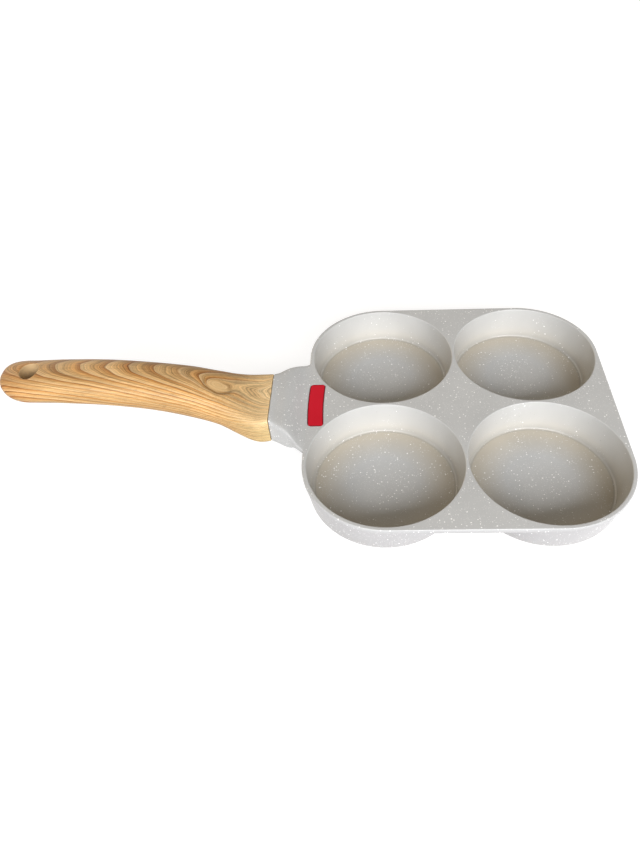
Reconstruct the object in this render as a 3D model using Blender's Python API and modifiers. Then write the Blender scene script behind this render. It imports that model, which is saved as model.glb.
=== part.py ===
"""Four-cup frying pan: cast body, wood-look handle and fittings. Metres, +Z up."""

import math

import bmesh
import bpy

# Cups
CUP_RADIUS = 0.0450
CUP_DEPTH = 0.0200
CUP_DRAFT_DEGREES = 6.76
CUP_FLOOR_FILLET = 0.0014
CUP_RIM_ROUND = 0.0006
CUP_WALL = 0.0022
CUP_FLOOR_THICKNESS = 0.0029
CUP_BASE_ROUND = 0.0040
CUP_LAND = 0.0006
CUP_STEPS = 48

# Deck that joins the cups
DECK_THICKNESS = 0.0030
DECK_FLANGE = 0.0018
DECK_EDGE_ROUND = 0.0006

# Neck between the deck and the handle
NECK_LENGTH = 0.0204
NECK_ROOT_HALF_WIDTH = 0.0370
NECK_ROOT_LENGTH = 0.0040
NECK_LEAN = 0.0012
NECK_SQUARENESS = 12.0

# Section where the neck and the handle meet, with heights from the deck's top
JOINT_HALF_WIDTH = 0.0205
JOINT_TOP = 0.0079
JOINT_BOTTOM = -0.0092

# Pockets under the neck, either side of its rib
POCKET_END_WALL = 0.0042
POCKET_LENGTH = 0.0088
POCKET_WIDTH = 0.0165
POCKET_CEILING = 0.0016
POCKET_CORNER = 0.0025
RIB_THICKNESS = 0.0032

# Tang, the cast bar inside the handle
TANG_LENGTH = 0.0300
TANG_WIDTH = 0.0200
TANG_HEIGHT = 0.0080
TANG_CENTRE = -0.0006
TANG_RISE_DEGREES = 8.0
TANG_TAPER = 0.0010
TANG_ROOT = 0.0020

# Handle: distance from the joint, half width, top, bottom, squareness of the section
HANDLE_SECTIONS = (
    (0.0060, 0.0218, 0.0075, -0.0107, 8.0),
    (0.0125, 0.0208, 0.0097, -0.0111, 5.0),
    (0.0205, 0.0187, 0.0137, -0.0089, 3.6),
    (0.0305, 0.0164, 0.0191, -0.0047, 2.9),
    (0.0455, 0.0157, 0.0242, 0.0004, 2.5),
    (0.0665, 0.0146, 0.0284, 0.0056, 2.35),
    (0.0915, 0.0145, 0.0308, 0.0100, 2.3),
    (0.1175, 0.0144, 0.0312, 0.0126, 2.3),
    (0.1340, 0.0144, 0.0302, 0.0140, 2.4),
)
HANDLE_END_ROUND = 0.0178
HANDLE_END_SQUARENESS = 2.7
HANDLE_TIP_LIFT = 0.0027
HANDLE_SPACING = 0.0070
HANDLE_RING_STEPS = 28
HANDLE_END_RINGS = 5
HANDLE_END_SWEEP_DEGREES = 84.0
HANDLE_TIP_SHARE = 0.04

# Hanging hole through the handle
HANG_HOLE_HALF_LENGTH = 0.0050
HANG_HOLE_HALF_WIDTH = 0.0063
HANG_HOLE_MOUTH = 0.0007
HANG_HOLE_FROM_END = 0.0172
HANG_HOLE_STEPS = 24
SCREW_RECESS_STEPS = 24

# Screw and washers that hold the handle to the tang
SCREW_SETBACK = 0.0140
SCREW_RADIUS = 0.0025
SCREW_LENGTH = 0.0115
SCREW_TIP = 0.0008
SCREW_HEAD_RADIUS = 0.0045
SCREW_HEAD_HEIGHT = 0.0026
SCREW_HEAD_ROUND = 0.0012
SCREW_STEPS = 20
FLAT_WASHER_RADIUS = 0.0050
FLAT_WASHER_THICKNESS = 0.0008
SPRING_WASHER_RADIUS = 0.0043
SPRING_WASHER_THICKNESS = 0.0010
SPRING_WASHER_SPLIT = 0.0008
COUNTERBORE_CLEARANCE = 0.0008
SCREW_HOLE_BOTTOM = 0.0006
SOCKET_WALL = 0.0022

# Plaque let into the deck
PLAQUE_LENGTH = 0.0354
PLAQUE_WIDTH = 0.0092
PLAQUE_THICKNESS = 0.0008
PLAQUE_CORNER = 0.0022
PLAQUE_BOW = 0.0007
PLAQUE_FROM_EDGE = 0.0017

# Steel discs in the cup bases
DISC_RADIUS = 0.0330
DISC_THICKNESS = 0.0008
DISC_PROUD = 0.0002
DISC_STEPS = 40
DISC_HOLE_RADIUS = 0.0019
DISC_HOLE_STEPS = 8
DISC_HOLE_RINGS = ((0.0130, 6), (0.0250, 12))

# Gap kept between pieces that touch, and how far a cutter passes a face
GAP = 0.0003
OVERCUT = 0.0020
MERGE = 0.00001

# Sizes that follow from those above
CUP_OFFSET = CUP_RADIUS + CUP_LAND / 2
CUP_WALL_RADIUS = CUP_RADIUS - CUP_RIM_ROUND
CUP_DRAFT = math.tan(math.radians(CUP_DRAFT_DEGREES))
CUP_FLOOR_RADIUS = CUP_WALL_RADIUS - (CUP_DEPTH - CUP_RIM_ROUND) * CUP_DRAFT
DECK_CORNER = CUP_RADIUS + DECK_FLANGE
DECK_HALF = CUP_OFFSET + DECK_CORNER
CUP_BASE = -CUP_DEPTH - CUP_FLOOR_THICKNESS
JOINT_X = -DECK_HALF - NECK_LENGTH
HANDLE_FRONT_X = JOINT_X - GAP
HANDLE_LENGTH = HANDLE_SECTIONS[-1][0] + HANDLE_END_ROUND
HANDLE_END_X = HANDLE_FRONT_X - HANDLE_LENGTH
SCREW_X = JOINT_X - SCREW_SETBACK
TANG_SLOPE = math.tan(math.radians(TANG_RISE_DEGREES))
TANG_AT_SCREW = TANG_CENTRE + SCREW_SETBACK * TANG_SLOPE
SEAT_Z = TANG_AT_SCREW - TANG_HEIGHT / 2 - GAP - SOCKET_WALL
CUP_PLACES = {
    "front_left": (-CUP_OFFSET, -CUP_OFFSET),
    "front_right": (CUP_OFFSET, -CUP_OFFSET),
    "rear_left": (-CUP_OFFSET, CUP_OFFSET),
    "rear_right": (CUP_OFFSET, CUP_OFFSET),
}


# Scene helpers


def clear_scene():
    """Remove every object that the scene starts with."""
    for thing in list(bpy.data.objects):
        bpy.data.objects.remove(thing, do_unlink=True)


def new_collection(name):
    """Return a new collection in the scene."""
    collection = bpy.data.collections.new(name)
    bpy.context.scene.collection.children.link(collection)
    return collection


def finish_material(name, colour, roughness, metallic):
    """Return a Principled material."""
    material = bpy.data.materials.new(name)
    material.use_nodes = True
    shader = material.node_tree.nodes["Principled BSDF"]
    shader.inputs["Base Color"].default_value = (*colour, 1.0)
    shader.inputs["Roughness"].default_value = roughness
    shader.inputs["Metallic"].default_value = metallic
    return material


def coated_aluminium():
    """Pale grey speckled non-stick coat, as its average colour."""
    return finish_material("coated_aluminium", (0.50, 0.49, 0.46), 0.45, 0.0)


def wood_look():
    """Honey-coloured wood print on the handle."""
    return finish_material("wood_look", (0.72, 0.42, 0.18), 0.42, 0.0)


def red_enamel():
    """Plain red of the plaque."""
    return finish_material("red_enamel", (0.58, 0.012, 0.025), 0.35, 0.0)


def disc_steel():
    """Satin steel of the base discs."""
    return finish_material("disc_steel", (0.56, 0.56, 0.55), 0.38, 1.0)


def screw_steel():
    """Bright zinc-plated steel of the screw."""
    return finish_material("screw_steel", (0.62, 0.62, 0.60), 0.30, 1.0)


def washer_steel():
    """Zinc-plated steel of the flat washer."""
    return finish_material("washer_steel", (0.60, 0.60, 0.59), 0.34, 1.0)


def spring_steel():
    """Darker hardened steel of the spring washer."""
    return finish_material("spring_steel", (0.50, 0.50, 0.49), 0.34, 1.0)


def place(name, mesh, collection, origin, at=(0.0, 0.0, 0.0)):
    """Make an object of a mesh at a place under the origin."""
    thing = bpy.data.objects.new(name, mesh)
    collection.objects.link(thing)
    thing.parent = origin
    thing.location = at
    return thing


def place_cutter(name, mesh, collection, origin, at=(0.0, 0.0, 0.0)):
    """Make an object that only shapes others."""
    thing = place(name, mesh, collection, origin, at)
    thing.hide_render = True
    thing.display_type = "WIRE"
    return thing


def combine(target, other, operation):
    """Join another object to the target, or cut it out."""
    modifier = target.modifiers.new(other.name, "BOOLEAN")
    modifier.solver = "EXACT"
    modifier.operation = operation
    modifier.object = other


def smooth_by_angle(mesh):
    """Shade round faces smooth and keep the hard edges."""
    mesh.shade_smooth()
    mesh.set_sharp_from_angle(angle=math.radians(35.0))


# Outlines and solids


def rounded(corners, steps, closed=False):
    """Return the points of a line whose corners (across, up, radius) are rounded by arcs."""
    points = []
    count = len(corners)
    for index, (across, up, radius) in enumerate(corners):
        at_end = not closed and index in (0, count - 1)
        if radius == 0.0 or at_end:
            points.append((across, up))
            continue
        before = corners[index - 1]
        after = corners[(index + 1) % count]
        points.extend(corner_arc(before, (across, up), after, radius, steps))
    return points


def corner_arc(before, corner, after, radius, steps):
    """Return the arc that rounds a corner between two neighbours."""
    back = (before[0] - corner[0], before[1] - corner[1])
    ahead = (after[0] - corner[0], after[1] - corner[1])
    back_angle = math.atan2(back[1], back[0])
    turn = math.atan2(ahead[1], ahead[0]) - back_angle
    turn = (turn + math.pi) % (2 * math.pi) - math.pi
    reach = radius / math.sin(abs(turn) / 2)
    middle = back_angle + turn / 2
    centre = (corner[0] + reach * math.cos(middle), corner[1] + reach * math.sin(middle))
    swing = math.pi - abs(turn)
    side = 1.0 if turn > 0.0 else -1.0
    start = middle + math.pi + side * swing / 2
    arc = []
    for step in range(steps + 1):
        angle = start - side * swing * step / steps
        arc.append((centre[0] + radius * math.cos(angle), centre[1] + radius * math.sin(angle)))
    return arc


def profile_mesh(name, points, closed=False):
    """Return a mesh of edges in the XZ plane, as an open line or a loop."""
    mesh = bpy.data.meshes.new(name)
    edges = [(index, index + 1) for index in range(len(points) - 1)]
    if closed:
        edges.append((len(points) - 1, 0))
    mesh.from_pydata([(across, 0.0, up) for across, up in points], edges, [])
    return mesh


def turn_profile(thing, steps):
    """Spin an object's profile once round Z."""
    modifier = thing.modifiers.new("turn", "SCREW")
    modifier.steps = steps
    modifier.render_steps = steps
    modifier.use_merge_vertices = True
    modifier.merge_threshold = MERGE
    modifier.use_smooth_shade = True


def prism_mesh(name, outline, low, high):
    """Return a flat outline's solid between two heights."""
    shape = bmesh.new()
    rim = [shape.verts.new((across, along, low)) for across, along in outline]
    base = shape.faces.new(rim)
    raised = bmesh.ops.extrude_face_region(shape, geom=[base])
    corners = [item for item in raised["geom"] if isinstance(item, bmesh.types.BMVert)]
    bmesh.ops.translate(shape, verts=corners, vec=(0.0, 0.0, high - low))
    return finished_mesh(name, shape)


def loft_mesh(name, rings):
    """Return a closed solid through rings of equal point counts."""
    shape = bmesh.new()
    rows = [[shape.verts.new(point) for point in ring] for ring in rings]
    for row, following in zip(rows, rows[1:]):
        for index in range(len(row)):
            after = (index + 1) % len(row)
            shape.faces.new((row[index], row[after], following[after], following[index]))
    shape.faces.new(rows[0])
    shape.faces.new(rows[-1])
    return finished_mesh(name, shape)


def finished_mesh(name, shape):
    """Turn a bmesh's faces outwards and return it as a mesh."""
    bmesh.ops.recalc_face_normals(shape, faces=shape.faces)
    mesh = bpy.data.meshes.new(name)
    shape.to_mesh(mesh)
    shape.free()
    smooth_by_angle(mesh)
    return mesh


def section_ring(x, top_half, low_half, top, bottom, squareness, steps):
    """Return one rounded section, from near-oblong to near-oval, in a plane of constant X."""
    power = 2.0 / squareness
    middle = (top + bottom) / 2
    half_height = (top - bottom) / 2
    ring = []
    for step in range(steps):
        angle = 2 * math.pi * step / steps
        side = math.copysign(abs(math.cos(angle)) ** power, math.cos(angle))
        lift = math.copysign(abs(math.sin(angle)) ** power, math.sin(angle))
        half_width = low_half + (top_half - low_half) * (lift + 1) / 2
        ring.append((x, half_width * side, middle + half_height * lift))
    return ring


# Pan body


def deck_mesh():
    """Return the deck: a square plate with corners that run round the cups."""
    shape = bmesh.new()
    bmesh.ops.create_cube(shape, size=1.0)
    bmesh.ops.scale(shape, verts=shape.verts, vec=(2 * DECK_HALF, 2 * DECK_HALF, DECK_THICKNESS))
    bmesh.ops.translate(shape, verts=shape.verts, vec=(0.0, 0.0, -DECK_THICKNESS / 2))
    uprights = [edge for edge in shape.edges if is_upright(edge)]
    round_edges(shape, uprights, DECK_CORNER, CUP_STEPS // 4)
    rim = [edge for edge in shape.edges if is_on_top(edge)]
    round_edges(shape, rim, DECK_EDGE_ROUND, 2)
    return finished_mesh("deck", shape)


def is_upright(edge):
    """Tell whether an edge runs along Z."""
    start, end = edge.verts
    return math.hypot(start.co.x - end.co.x, start.co.y - end.co.y) < MERGE


def is_on_top(edge):
    """Tell whether an edge lies in the deck's top face."""
    return all(abs(corner.co.z) < MERGE for corner in edge.verts)


def round_edges(shape, edges, radius, segments):
    """Round edges of a bmesh."""
    bmesh.ops.bevel(
        shape,
        geom=edges,
        offset=radius,
        offset_type="OFFSET",
        segments=segments,
        profile=0.5,
        affect="EDGES",
        clamp_overlap=True,
        material=-1,
    )


def cavity_profile():
    """Return half the inside of a cup, from above the deck down to the axis."""
    points = [(0.0, OVERCUT), (CUP_RADIUS, OVERCUT)]
    for step in range(3):
        angle = math.radians(90.0 + 45.0 * step)
        across = CUP_RADIUS + CUP_RIM_ROUND * math.cos(angle)
        points.append((across, -CUP_RIM_ROUND + CUP_RIM_ROUND * math.sin(angle)))
    wall = [
        (CUP_WALL_RADIUS, -CUP_RIM_ROUND, 0.0),
        (CUP_FLOOR_RADIUS, -CUP_DEPTH, CUP_FLOOR_FILLET),
        (0.0, -CUP_DEPTH, 0.0),
    ]
    return points + rounded(wall, 3)[1:]


def cup_form_profile():
    """Return half the outside of a cup, from inside the deck down to its disc's seat."""
    start = -DECK_THICKNESS / 2
    seat_radius = DISC_RADIUS + GAP
    seat_ceiling = CUP_BASE - DISC_PROUD + DISC_THICKNESS + GAP
    corners = [
        (0.0, start, 0.0),
        (outer_radius(start), start, 0.0),
        (outer_radius(CUP_BASE), CUP_BASE, CUP_BASE_ROUND),
        (seat_radius, CUP_BASE, 0.0),
        (seat_radius, seat_ceiling, 0.0),
        (0.0, seat_ceiling, 0.0),
    ]
    return rounded(corners, 4)


def outer_radius(z):
    """Return a cup's outer radius at a height: its inner wall's line plus the wall."""
    return CUP_WALL_RADIUS + (z + CUP_RIM_ROUND) * CUP_DRAFT + CUP_WALL


# Neck: how far along it, and how far its flare, its top's fall and its bottom's rise have come
NECK_SHAPE = (
    (0.00, 0.00, 0.00, 0.00),
    (0.14, 0.11, 0.10, 0.03),
    (0.30, 0.26, 0.11, 0.06),
    (0.45, 0.40, 0.14, 0.11),
    (0.60, 0.55, 0.29, 0.35),
    (0.75, 0.72, 0.58, 0.87),
    (0.88, 0.87, 0.86, 0.97),
    (1.01, 1.00, 0.96, 0.97),
)


def neck_mesh():
    """Return the neck: a loft from the joint's section to the thin edge of the deck."""
    rings = []
    for along, flare, fall, rise in NECK_SHAPE:
        half = JOINT_HALF_WIDTH + (NECK_ROOT_HALF_WIDTH - JOINT_HALF_WIDTH) * flare
        lean = NECK_LEAN * (1.0 - flare)
        top = JOINT_TOP * (1.0 - fall)
        bottom = JOINT_BOTTOM + (-DECK_THICKNESS - JOINT_BOTTOM) * rise
        x = JOINT_X + NECK_LENGTH * along
        rings.append(section_ring(x, half, half + lean, top, bottom, NECK_SQUARENESS, HANDLE_RING_STEPS))
    rings.append(neck_root_ring())
    return loft_mesh("neck", rings)


def neck_root_ring():
    """Return the neck's last section, sunk in the deck."""
    sink = GAP / 2
    x = JOINT_X + NECK_LENGTH + NECK_ROOT_LENGTH
    half = NECK_ROOT_HALF_WIDTH + NECK_ROOT_LENGTH
    bottom = sink - DECK_THICKNESS
    return section_ring(x, half, half, -sink, bottom, NECK_SQUARENESS, HANDLE_RING_STEPS)


def tang_rings(clearance, start, length):
    """Return the tang's sections, or its socket's when a clearance is given."""
    rings = []
    for along, taper in ((-start, 0.0), (length, TANG_TAPER)):
        centre = TANG_CENTRE + along * TANG_SLOPE
        half_width = TANG_WIDTH / 2 + clearance - taper
        half_height = (TANG_HEIGHT - taper) / 2 + clearance
        x = JOINT_X - along
        top = centre + half_height
        bottom = centre - half_height
        rings.append(section_ring(x, half_width, half_width, top, bottom, NECK_SQUARENESS, 16))
    return rings


def pocket_mesh():
    """Return a pocket's solid, with rounded corners and open below the neck."""
    height = POCKET_CEILING - JOINT_BOTTOM + OVERCUT
    shape = bmesh.new()
    bmesh.ops.create_cube(shape, size=1.0)
    bmesh.ops.scale(shape, verts=shape.verts, vec=(POCKET_LENGTH, POCKET_WIDTH, height))
    uprights = [edge for edge in shape.edges if is_upright(edge)]
    round_edges(shape, uprights, POCKET_CORNER, 3)
    bmesh.ops.translate(shape, verts=shape.verts, vec=(0.0, 0.0, POCKET_CEILING - height / 2))
    return finished_mesh("pocket", shape)


def plaque_outline(margin):
    """Return the plaque's bowed outline, or its recess's when a margin is given."""
    half_width = PLAQUE_WIDTH / 2 + margin
    half_length = PLAQUE_LENGTH / 2 + margin
    corner = PLAQUE_CORNER + margin
    middle = -DECK_HALF + PLAQUE_FROM_EDGE + PLAQUE_WIDTH / 2
    corners = []
    for side, end in ((1, -1), (1, 0), (1, 1), (-1, 1), (-1, 0), (-1, -1)):
        bow = PLAQUE_BOW if end == 0 else 0.0
        corners.append((middle + side * half_width - bow, end * half_length, corner if end else 0.0))
    return rounded(corners, 4, closed=True)


def make_pan_body(parts, cutters, origin):
    """Make the casting: the outside of one cup on its quarter of the deck, mirrored twice, then the rest."""
    body = place("pan_body", deck_mesh(), parts, origin)
    body.data.materials.append(coated_aluminium())
    form = profile_mesh("cup_form", cup_form_profile())
    outside = place_cutter("cup_form", form, cutters, origin, (CUP_OFFSET, CUP_OFFSET, 0.0))
    turn_profile(outside, CUP_STEPS)
    combine(body, outside, "UNION")
    mirror_quarter(body)
    combine(body, place_cutter("neck_form", neck_mesh(), cutters, origin), "UNION")
    tang = loft_mesh("tang_form", tang_rings(0.0, TANG_ROOT, TANG_LENGTH))
    combine(body, place_cutter("tang_form", tang, cutters, origin), "UNION")
    cut_cups(body, cutters, origin)
    cut_neck_pockets(body, cutters, origin)
    cut_plaque_recess(body, cutters, origin)
    cut_screw_hole(body, cutters, origin)


def mirror_quarter(body):
    """Keep the quarter with the cup and mirror it across both middle planes."""
    modifier = body.modifiers.new("four_cups", "MIRROR")
    modifier.use_axis = (True, True, False)
    modifier.use_bisect_axis = (True, True, False)
    modifier.use_mirror_merge = True
    modifier.merge_threshold = MERGE
    modifier.bisect_threshold = MERGE


def cut_cups(body, cutters, origin):
    """Hollow the four cups."""
    cavity = profile_mesh("cup_cavity", cavity_profile())
    for name, (x, y) in CUP_PLACES.items():
        inside = place_cutter("cup_cavity_" + name, cavity, cutters, origin, (x, y, 0.0))
        turn_profile(inside, CUP_STEPS)
        combine(body, inside, "DIFFERENCE")


def cut_neck_pockets(body, cutters, origin):
    """Hollow the neck from below, leaving a rib along its middle."""
    pocket = pocket_mesh()
    x = JOINT_X + POCKET_END_WALL + POCKET_LENGTH / 2
    y = (RIB_THICKNESS + POCKET_WIDTH) / 2
    for name, side in (("front", -1), ("rear", 1)):
        hollow = place_cutter("neck_pocket_" + name, pocket, cutters, origin, (x, side * y, 0.0))
        combine(body, hollow, "DIFFERENCE")


def cut_plaque_recess(body, cutters, origin):
    """Sink the plaque's seat into the deck."""
    floor = -PLAQUE_THICKNESS - GAP
    recess = prism_mesh("plaque_recess", plaque_outline(GAP), floor, OVERCUT)
    combine(body, place_cutter("plaque_recess", recess, cutters, origin), "DIFFERENCE")


def cut_screw_hole(body, cutters, origin):
    """Make the tang's blind hole for the screw."""
    radius = SCREW_RADIUS + GAP
    top = screw_top() + SCREW_HOLE_BOTTOM
    bottom = TANG_AT_SCREW - TANG_HEIGHT
    profile = [(0.0, top), (radius, top), (radius, bottom), (0.0, bottom)]
    mesh = profile_mesh("tang_screw_hole", profile)
    hole = place_cutter("tang_screw_hole", mesh, cutters, origin, (SCREW_X, 0.0, 0.0))
    turn_profile(hole, SCREW_STEPS)
    combine(body, hole, "DIFFERENCE")


# Base discs


def disc_mesh(name, low, high):
    """Return one disc without its holes."""
    shape = bmesh.new()
    bmesh.ops.create_cone(
        shape,
        cap_ends=True,
        segments=DISC_STEPS,
        radius1=DISC_RADIUS,
        radius2=DISC_RADIUS,
        depth=high - low,
    )
    bmesh.ops.translate(shape, verts=shape.verts, vec=(0.0, 0.0, (high + low) / 2))
    return finished_mesh(name, shape)


def disc_holes_mesh():
    """Return the rings of round holes of one disc, as one cutter."""
    shape = bmesh.new()
    height = DISC_THICKNESS + 2 * OVERCUT
    for ring_radius, count in DISC_HOLE_RINGS:
        for index in range(count):
            angle = 2 * math.pi * (index + 0.5) / count
            made = bmesh.ops.create_cone(
                shape,
                cap_ends=True,
                segments=DISC_HOLE_STEPS,
                radius1=DISC_HOLE_RADIUS,
                radius2=DISC_HOLE_RADIUS,
                depth=height,
            )
            spot = (ring_radius * math.cos(angle), ring_radius * math.sin(angle), CUP_BASE)
            bmesh.ops.translate(shape, verts=made["verts"], vec=spot)
    return finished_mesh("disc_holes", shape)


def make_base_discs(parts, cutters, origin):
    """Make the perforated steel disc under each cup."""
    steel = disc_steel()
    low = CUP_BASE - DISC_PROUD
    holes = disc_holes_mesh()
    for name, (x, y) in CUP_PLACES.items():
        plate = disc_mesh("base_disc_" + name, low, low + DISC_THICKNESS)
        plate.materials.append(steel)
        disc = place("base_disc_" + name, plate, parts, origin, (x, y, 0.0))
        punch = place_cutter("disc_holes_" + name, holes, cutters, origin, (x, y, 0.0))
        combine(disc, punch, "DIFFERENCE")


# Handle


def handle_row(along):
    """Return half width, top, bottom and squareness at a distance along the handle."""
    joint = (0.0, JOINT_HALF_WIDTH + NECK_LEAN / 2, JOINT_TOP, JOINT_BOTTOM, NECK_SQUARENESS)
    rows = (joint,) + HANDLE_SECTIONS
    last = len(rows) - 1
    index = 0
    while index < last - 1 and rows[index + 1][0] <= along:
        index += 1
    start, end = rows[index], rows[index + 1]
    span = end[0] - start[0]
    share = min((along - start[0]) / span, 1.0)
    before = rows[max(index - 1, 0)]
    after = rows[min(index + 2, last)]
    values = []
    for column in range(1, len(start)):
        slope_in = (end[column] - before[column]) / (end[0] - before[0])
        slope_out = (after[column] - start[column]) / (after[0] - start[0])
        values.append(hermite(start[column], end[column], slope_in * span, slope_out * span, share))
    return values


def hermite(start, end, slope_in, slope_out, share):
    """Blend two values smoothly with given end slopes."""
    square = share * share
    cube = square * share
    return (
        (2 * cube - 3 * square + 1) * start
        + (cube - 2 * square + share) * slope_in
        + (3 * square - 2 * cube) * end
        + (cube - square) * slope_out
    )


def handle_ring(along, shrink=1.0):
    """Return the handle's section at a distance from the joint, drawn in at its round end."""
    half_width, top, bottom, squareness = handle_row(along)
    lean = NECK_LEAN / 2 * max(0.0, 1.0 - along / HANDLE_SECTIONS[0][0])
    middle = (top + bottom) / 2
    half_height = (top - bottom) / 2 * shrink
    return section_ring(
        HANDLE_FRONT_X - along,
        (half_width - lean) * shrink,
        (half_width + lean) * shrink,
        middle + half_height,
        middle - half_height,
        squareness,
        HANDLE_RING_STEPS,
    )


def handle_mesh():
    """Return the handle's outer form: a loft from the joint to a blunt round end."""
    stations = [0.0] + [row[0] for row in HANDLE_SECTIONS]
    distances = []
    for start, end in zip(stations, stations[1:]):
        pieces = math.ceil((end - start) / HANDLE_SPACING)
        distances.extend(start + (end - start) * piece / pieces for piece in range(pieces))
    rings = [handle_ring(distance) for distance in distances]
    power = 2 / HANDLE_END_SQUARENESS
    for step in range(HANDLE_END_RINGS + 1):
        angle = math.radians(HANDLE_END_SWEEP_DEGREES) * step / HANDLE_END_RINGS
        rings.append(end_ring(math.sin(angle) ** power, math.cos(angle) ** power))
    rings.append(end_ring(1.0, HANDLE_TIP_SHARE))
    return loft_mesh("handle", rings)


def end_ring(share, shrink):
    """Return the last full section moved on by a share of the round end, lifted and drawn in."""
    ring = handle_ring(HANDLE_SECTIONS[-1][0], shrink)
    reach = HANDLE_END_ROUND * share
    lift = HANDLE_TIP_LIFT * share**2
    return [(x - reach, y, z + lift) for x, y, z in ring]


def hang_hole_ring(flare, rise, side):
    """Return one oval ring of the hanging hole, that far off the handle's top (side 1) or bottom (-1)."""
    half_width, top, bottom, squareness = handle_row(HANDLE_LENGTH - HANG_HOLE_FROM_END)
    ring = []
    for step in range(HANG_HOLE_STEPS):
        angle = 2 * math.pi * step / HANG_HOLE_STEPS
        x = HANDLE_END_X + HANG_HOLE_FROM_END + (HANG_HOLE_HALF_LENGTH + flare) * math.cos(angle)
        y = (HANG_HOLE_HALF_WIDTH + flare) * math.sin(angle)
        crown = (1.0 - abs(y / half_width) ** squareness) ** (1.0 / squareness)
        reach = (top - bottom) / 2 * crown + rise
        ring.append((x, y, (top + bottom) / 2 + side * reach))
    return ring


def hang_hole_rings():
    """Return the hanging hole's rings, top to bottom: its rounded mouths follow the handle's curve."""
    rows = [(HANG_HOLE_MOUTH, OVERCUT)]
    for step in range(4):
        angle = math.radians(30.0 * step)
        rows.append((HANG_HOLE_MOUTH * (1.0 - math.sin(angle)), HANG_HOLE_MOUTH * (math.cos(angle) - 1.0)))
    upper = [hang_hole_ring(flare, rise, 1.0) for flare, rise in rows]
    lower = [hang_hole_ring(flare, rise, -1.0) for flare, rise in reversed(rows)]
    return upper + lower


def screw_recess_profile():
    """Return half the counterbore and the screw's way through, from the socket down."""
    through = SCREW_RADIUS + GAP
    bore = FLAT_WASHER_RADIUS + COUNTERBORE_CLEARANCE
    top = TANG_AT_SCREW
    low = min(row[3] for row in HANDLE_SECTIONS) - OVERCUT
    return [(0.0, top), (through, top), (through, SEAT_Z), (bore, SEAT_Z), (bore, low), (0.0, low)]


def make_handle(parts, cutters, origin):
    """Make the handle with its socket, hanging hole and screw recess."""
    handle = place("handle", handle_mesh(), parts, origin)
    handle.data.materials.append(wood_look())
    socket = loft_mesh("tang_socket", tang_rings(GAP, TANG_ROOT, TANG_LENGTH + GAP))
    combine(handle, place_cutter("tang_socket", socket, cutters, origin), "DIFFERENCE")
    hole = loft_mesh("hang_hole", hang_hole_rings())
    combine(handle, place_cutter("hang_hole", hole, cutters, origin), "DIFFERENCE")
    profile = profile_mesh("screw_recess", screw_recess_profile())
    recess = place_cutter("screw_recess", profile, cutters, origin, (SCREW_X, 0.0, 0.0))
    turn_profile(recess, SCREW_RECESS_STEPS)
    combine(handle, recess, "DIFFERENCE")
    return handle


# Screw and washers


def flat_washer_top():
    """Return the height of the flat washer's upper face."""
    return SEAT_Z - GAP


def spring_washer_top():
    """Return the height of the spring washer's upper face."""
    return flat_washer_top() - FLAT_WASHER_THICKNESS - GAP


def screw_head_top():
    """Return the height of the screw head's bearing face."""
    return spring_washer_top() - SPRING_WASHER_THICKNESS - GAP


def screw_top():
    """Return the height of the screw's tip."""
    return screw_head_top() + SCREW_LENGTH


def make_screw(parts, origin):
    """Make the screw: a round-edged head below and a plain shank with a short tip."""
    seat = screw_head_top()
    tip = screw_top()
    low = seat - SCREW_HEAD_HEIGHT
    shank = [
        (0.0, tip, 0.0),
        (SCREW_RADIUS - SCREW_TIP, tip, 0.0),
        (SCREW_RADIUS, tip - SCREW_TIP, 0.0),
        (SCREW_RADIUS, seat, 0.0),
        (SCREW_HEAD_RADIUS, seat, 0.0),
        (SCREW_HEAD_RADIUS, low, SCREW_HEAD_ROUND),
        (0.0, low, 0.0),
    ]
    profile = profile_mesh("handle_screw", rounded(shank, 3))
    profile.materials.append(screw_steel())
    screw = place("handle_screw", profile, parts, origin, (SCREW_X, 0.0, 0.0))
    turn_profile(screw, SCREW_STEPS)


def washer_outline(radius):
    """Return the section of a washer round the screw as its hole and outer radius."""
    return SCREW_RADIUS + GAP, radius


def make_flat_washer(parts, origin):
    """Make the plain washer that the screw pulls on."""
    hole, radius = washer_outline(FLAT_WASHER_RADIUS)
    top = flat_washer_top()
    low = top - FLAT_WASHER_THICKNESS
    profile = [(hole, top), (radius, top), (radius, low), (hole, low)]
    mesh = profile_mesh("flat_washer", profile, closed=True)
    mesh.materials.append(washer_steel())
    washer = place("flat_washer", mesh, parts, origin, (SCREW_X, 0.0, 0.0))
    turn_profile(washer, SCREW_STEPS)


def make_spring_washer(parts, origin):
    """Make the split washer: an open ring swept from one side of its split to the other."""
    hole, radius = washer_outline(SPRING_WASHER_RADIUS)
    top = spring_washer_top()
    low = top - SPRING_WASHER_THICKNESS
    split = SPRING_WASHER_SPLIT / radius
    steps = 18
    rings = []
    for step in range(steps + 1):
        angle = split / 2 + (2 * math.pi - split) * step / steps
        across, along = math.cos(angle), math.sin(angle)
        corners = ((hole, top), (radius, top), (radius, low), (hole, low))
        rings.append([(reach * across, reach * along, height) for reach, height in corners])
    mesh = loft_mesh("spring_washer", rings)
    mesh.materials.append(spring_steel())
    place("spring_washer", mesh, parts, origin, (SCREW_X, 0.0, 0.0))


# Plaque


def make_plaque(parts, origin):
    """Make the plain red plaque, flush with the deck."""
    mesh = prism_mesh("red_plaque", plaque_outline(0.0), -PLAQUE_THICKNESS, 0.0)
    mesh.materials.append(red_enamel())
    place("red_plaque", mesh, parts, origin)


def make_origin(collection):
    """Make the empty that stands the pan on Z = 0 with its length centred on X = 0."""
    origin = bpy.data.objects.new("pan_origin", None)
    collection.objects.link(origin)
    origin.location = (-(DECK_HALF + HANDLE_END_X) / 2, 0.0, DISC_PROUD - CUP_BASE)
    return origin


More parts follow.
